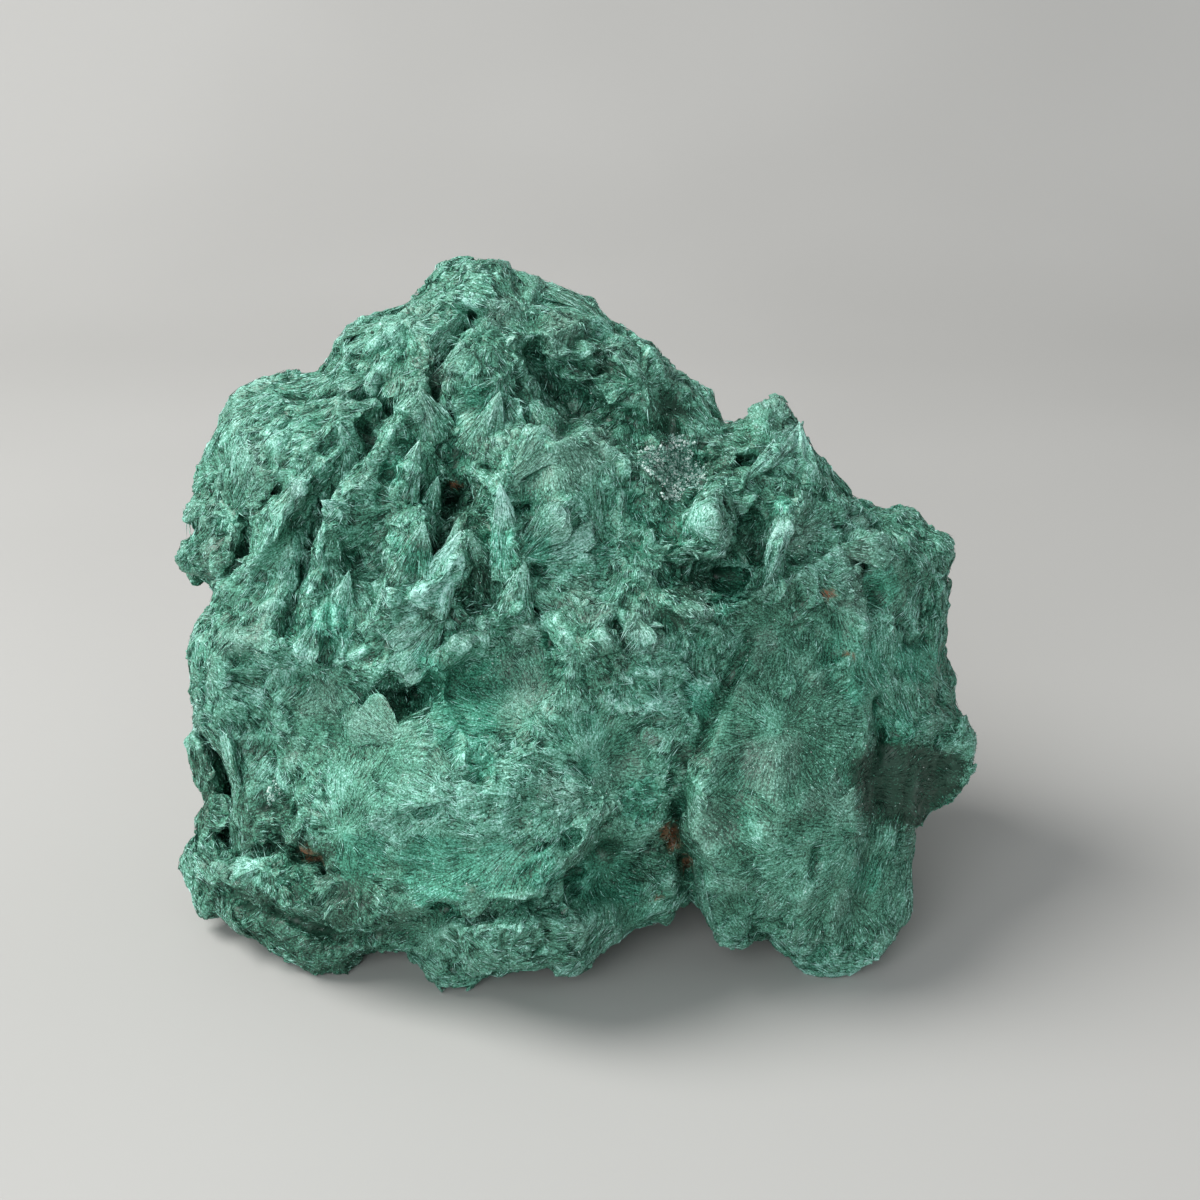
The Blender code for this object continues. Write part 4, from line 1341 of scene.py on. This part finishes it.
# The spots of a sliver's four faces in its square of the picture map
NEEDLE_CORNERS = [
    *((0.1, 0.1), (0.6, 0.1), (0.4, 0.9)),
    *((0.6, 0.1), (0.9, 0.9), (0.4, 0.9)),
    *((0.1, 0.1), (0.9, 0.1), (0.4, 0.9)),
    *((0.1, 0.1), (0.1, 0.2), (0.2, 0.1)),
]

ground_places = np.concatenate((places, growth_places))
ground_normals = np.concatenate((normals, growth_normals))
ground_corners = np.concatenate((corners, growth_corners + len(places)))
ground_shares = {
    name: np.concatenate((values, growth_shares[name])) for name, values in skin_shares.items()
}
ground_tips = np.concatenate((np.full(len(corners), -1), growth_of_face))
faces = ground_places[ground_corners]
face_normals = np.cross(faces[:, 1] - faces[:, 0], faces[:, 2] - faces[:, 0])
areas = np.linalg.norm(face_normals, axis=1)
face_normals /= np.maximum(areas, 1e-12)[:, None]
towards = face_normals @ TOWARDS_EYE
share = areas * (0.4 + 1.0 * between(towards, -0.1, 0.3)) * (0.25 + 0.75 * between(face_normals[:, 2], -0.9, -0.3))
share *= 1 - 0.85 * ground_shares["drusy"][ground_corners[:, 0]]
share *= np.concatenate((np.full(len(corners), 0.55), np.where(buried, 0.0, 1.0)))
total = NEEDLES_PER_PIECE * NEEDLE_PIECES
picked = dice.choice(len(faces), total, p=share / share.sum())
mix = dice.random((total, 2))
flip = mix.sum(axis=1) > 1
mix[flip] = 1 - mix[flip]
weights = np.stack((1 - mix.sum(axis=1), mix[:, 0], mix[:, 1]), axis=1)
needle_roots = np.einsum("ij,ijk->ik", weights, faces[picked])


def blended(values):
    return np.sum(values[ground_corners[picked]] * weights, axis=1)


smooth_normals = np.einsum("ij,ijk->ik", weights, ground_normals[ground_corners[picked]])
smooth_normals = unit_long(smooth_normals)
needle_owner, gap, far, turn = spray_of(needle_roots)
on_crag = ground_tips[picked] >= 0
gap[on_crag] = needle_roots[on_crag] - sources[ground_tips[picked]][on_crag]
ways = gap - smooth_normals * np.sum(gap * smooth_normals, axis=1)[:, None]
ways = unit_long(ways)
sideways = np.cross(smooth_normals, ways)
strand, _, _ = strands_of(needle_roots, needle_owner, far, turn)
clump = np.where(on_crag, 0, hashed(strand, 12) * 2 - 1)
grit = np.clip(0.5 + 1.1 * wander(needle_roots, 3.5 * MM, 70) + 0.4 * wander(needle_roots, 1.2 * MM, 71), 0, 1) ** 2
grit = np.clip(grit + 0.5 * blended(ground_shares["dust"]) - blended(ground_shares["mint"]), 0, 1)
grit *= np.where(on_crag, 0.3, 1.0)
free = dice.random(total) < 0.10
sway = np.radians(dice.normal(0, 1, total) * (3 + 25 * grit) + 9 * (hashed(strand, 13) - 0.5))
ways = ways * np.cos(sway)[:, None] + sideways * np.sin(sway)[:, None]
lengths = (2.1 + 0.5 * wander(needle_roots, 5 * MM, 72) + dice.normal(0, 0.45, total)) * (1 - 0.6 * grit) * MM
lengths = np.clip(lengths, 0.35 * MM, 3.2 * MM)
ground = BVHTree.FromPolygons(ground_places.tolist(), ground_corners.tolist())
ends = needle_roots + ways * lengths[:, None]
landed = np.array([tuple(ground.find_nearest(spot)[0]) for spot in ends])
lift = np.where(free, dice.uniform(0.1, 0.45, total), dice.uniform(0.02, 0.09, total)) * MM
ends = landed + smooth_normals * lift[:, None]
ways = ends - needle_roots
ways = unit_long(ways)
widths = NEEDLE_WIDTH * dice.uniform(0.6, 1.25, total) * (1 + 0.3 * grit)
across = np.cross(ways, smooth_normals)
across = unit_long(across)
points = np.empty((total, 4, 3))
points[:, 0] = needle_roots + across * (widths / 2)[:, None] - smooth_normals * 0.05 * MM
points[:, 1] = needle_roots - across * (widths / 2)[:, None] - smooth_normals * 0.05 * MM
points[:, 2] = needle_roots + smooth_normals * (widths * dice.uniform(0.35, 0.75, total))[:, None]
points[:, 3] = ends
points[:] = np.clip(points, low - margin, high + margin)
evenness = 1 - 0.45 * blended(ground_shares["calm"])
shades = 0.5 + (0.1 * clump + dice.normal(0, 0.46, total)) * evenness
# About one needle in seventeen is made far lighter: painted glints
shades += np.where(dice.random(total) < 0.06, 0.5, 0)
needle_shares = {name: blended(values) for name, values in ground_shares.items()}
needle_shares["shade"] = np.clip(shades, 0, 1.4)
needle_finish = stone_finish("malachite_needles", True)
order = np.argsort(needle_roots[:, 0])
cells = int(math.ceil(math.sqrt(NEEDLES_PER_PIECE)))
for number in range(NEEDLE_PIECES):
    chosen = order[number * NEEDLES_PER_PIECE : (number + 1) * NEEDLES_PER_PIECE]
    count = len(chosen)
    mesh = bpy.data.meshes.new(f"needles_{number + 1}")
    starts = np.arange(count)[:, None] * 4
    sides = np.array([(0, 3, 2), (2, 3, 1), (1, 3, 0), (0, 2, 1)])
    triangles = (starts[:, :, None] + sides[None]).reshape(-1)
    mesh.vertices.add(count * 4)
    mesh.vertices.foreach_set("co", points[chosen].astype(np.float32).ravel())
    mesh.loops.add(count * 12)
    mesh.loops.foreach_set("vertex_index", triangles.astype(np.int32))
    mesh.polygons.add(count * 4)
    mesh.polygons.foreach_set("loop_start", np.arange(count * 4, dtype=np.int32) * 3)
    mesh.update(calc_edges=True)
    for name, values in needle_shares.items():
        store(mesh, name, np.repeat(values[chosen], 4))
    layer = mesh.uv_layers.new(name="OFBake")
    column = np.arange(count) % cells
    row = np.arange(count) // cells
    local = np.array(NEEDLE_CORNERS)
    uv_spots = (np.stack((column, row), axis=1)[:, None, :] + local[None]) / cells
    layer.data.foreach_set("uv", uv_spots.astype(np.float32).ravel())
    mesh.materials.append(needle_finish)
    needles = bpy.data.objects.new(f"needles_{number + 1}", mesh)
    bpy.context.scene.collection.objects.link(needles)
    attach(needles, "root")

signs = np.einsum("ij,ij->i", np.cross(points[:, 2] - points[:, 0], points[:, 3] - points[:, 0]), points[:, 0] - points[:, 1])
print("outward", (signs > 0).mean())

print("time", round(time.time() - started, 1))
# Grains
# Small bright crystals: a crust of them in the drusy pockets, and single ones that
# glint here and there all over the stone. Each is a closed grain of eight faces.
GRAINS = 22000

share = areas * (0.05 + 0.25 * ground_shares["dust"][ground_corners[:, 0]] + 9.0 * ground_shares["drusy"][ground_corners[:, 0]])
share *= 0.4 + between(towards, -0.1, 0.3)
share *= np.concatenate((np.ones(len(corners)), np.where(buried, 0.0, 1.0)))
picked = dice.choice(len(faces), GRAINS, p=share / share.sum())
mix = dice.random((GRAINS, 2))
flip = mix.sum(axis=1) > 1
mix[flip] = 1 - mix[flip]
weights = np.stack((1 - mix.sum(axis=1), mix[:, 0], mix[:, 1]), axis=1)
grain_places = np.einsum("ij,ijk->ik", weights, faces[picked])
in_crust = blended(ground_shares["drusy"])
sizes = np.where(in_crust > 0.3, dice.uniform(0.14, 0.42, GRAINS), dice.uniform(0.06, 0.16, GRAINS)) * MM
grain_places += face_normals[picked] * (sizes * 0.4)[:, None]
one = dice.normal(size=(GRAINS, 3))
one = unit_long(one)
two = np.cross(one, dice.normal(size=(GRAINS, 3)))
two = unit_long(two)
three = np.cross(one, two)
points = np.empty((GRAINS, 6, 3))
for k, (way, stretch) in enumerate(((one, 1.0), (two, 0.8), (three, 0.65))):
    points[:, k] = grain_places + way * (sizes * stretch)[:, None]
    points[:, k + 3] = grain_places - way * (sizes * stretch)[:, None]
points[:] = np.clip(points, low - margin, high + margin)
sides = np.array([(0, 1, 2), (1, 3, 2), (3, 4, 2), (4, 0, 2), (1, 0, 5), (3, 1, 5), (4, 3, 5), (0, 4, 5)])
triangles = (np.arange(GRAINS)[:, None, None] * 6 + sides[None]).reshape(-1, 3)
mesh = bpy.data.meshes.new("grains")
mesh.from_pydata(points.reshape(-1, 3).tolist(), [], triangles.tolist())
store(mesh, "shade", np.repeat(dice.random(GRAINS), 6))
grains = bpy.data.objects.new("grains", mesh)
bpy.context.scene.collection.objects.link(grains)
grain_finish, paint, finish = new_material("malachite_grains")
shade = paint.attribute("shade")
place = paint.node("TexCoord", None, None, out=3)
tint = (shade * 0.8 + paint.noise(place, 300.0, 2.0) * 0.4).over(0.1, 1.1)
colour = paint.node(
    "ValToRGB",
    {"stops": [(0.0, (0.03, 0.12, 0.085)), (0.45, (0.12, 0.30, 0.23)), (0.8, (0.32, 0.52, 0.46)), (1.0, (0.72, 0.82, 0.78))]},
    {"Fac": tint},
)
connect(colour, finish, "Base Color")
connect(shade * 0.3 + 0.12, finish, "Roughness")
mesh.materials.append(grain_finish)
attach(grains, "root")

print("time", round(time.time() - started, 1))
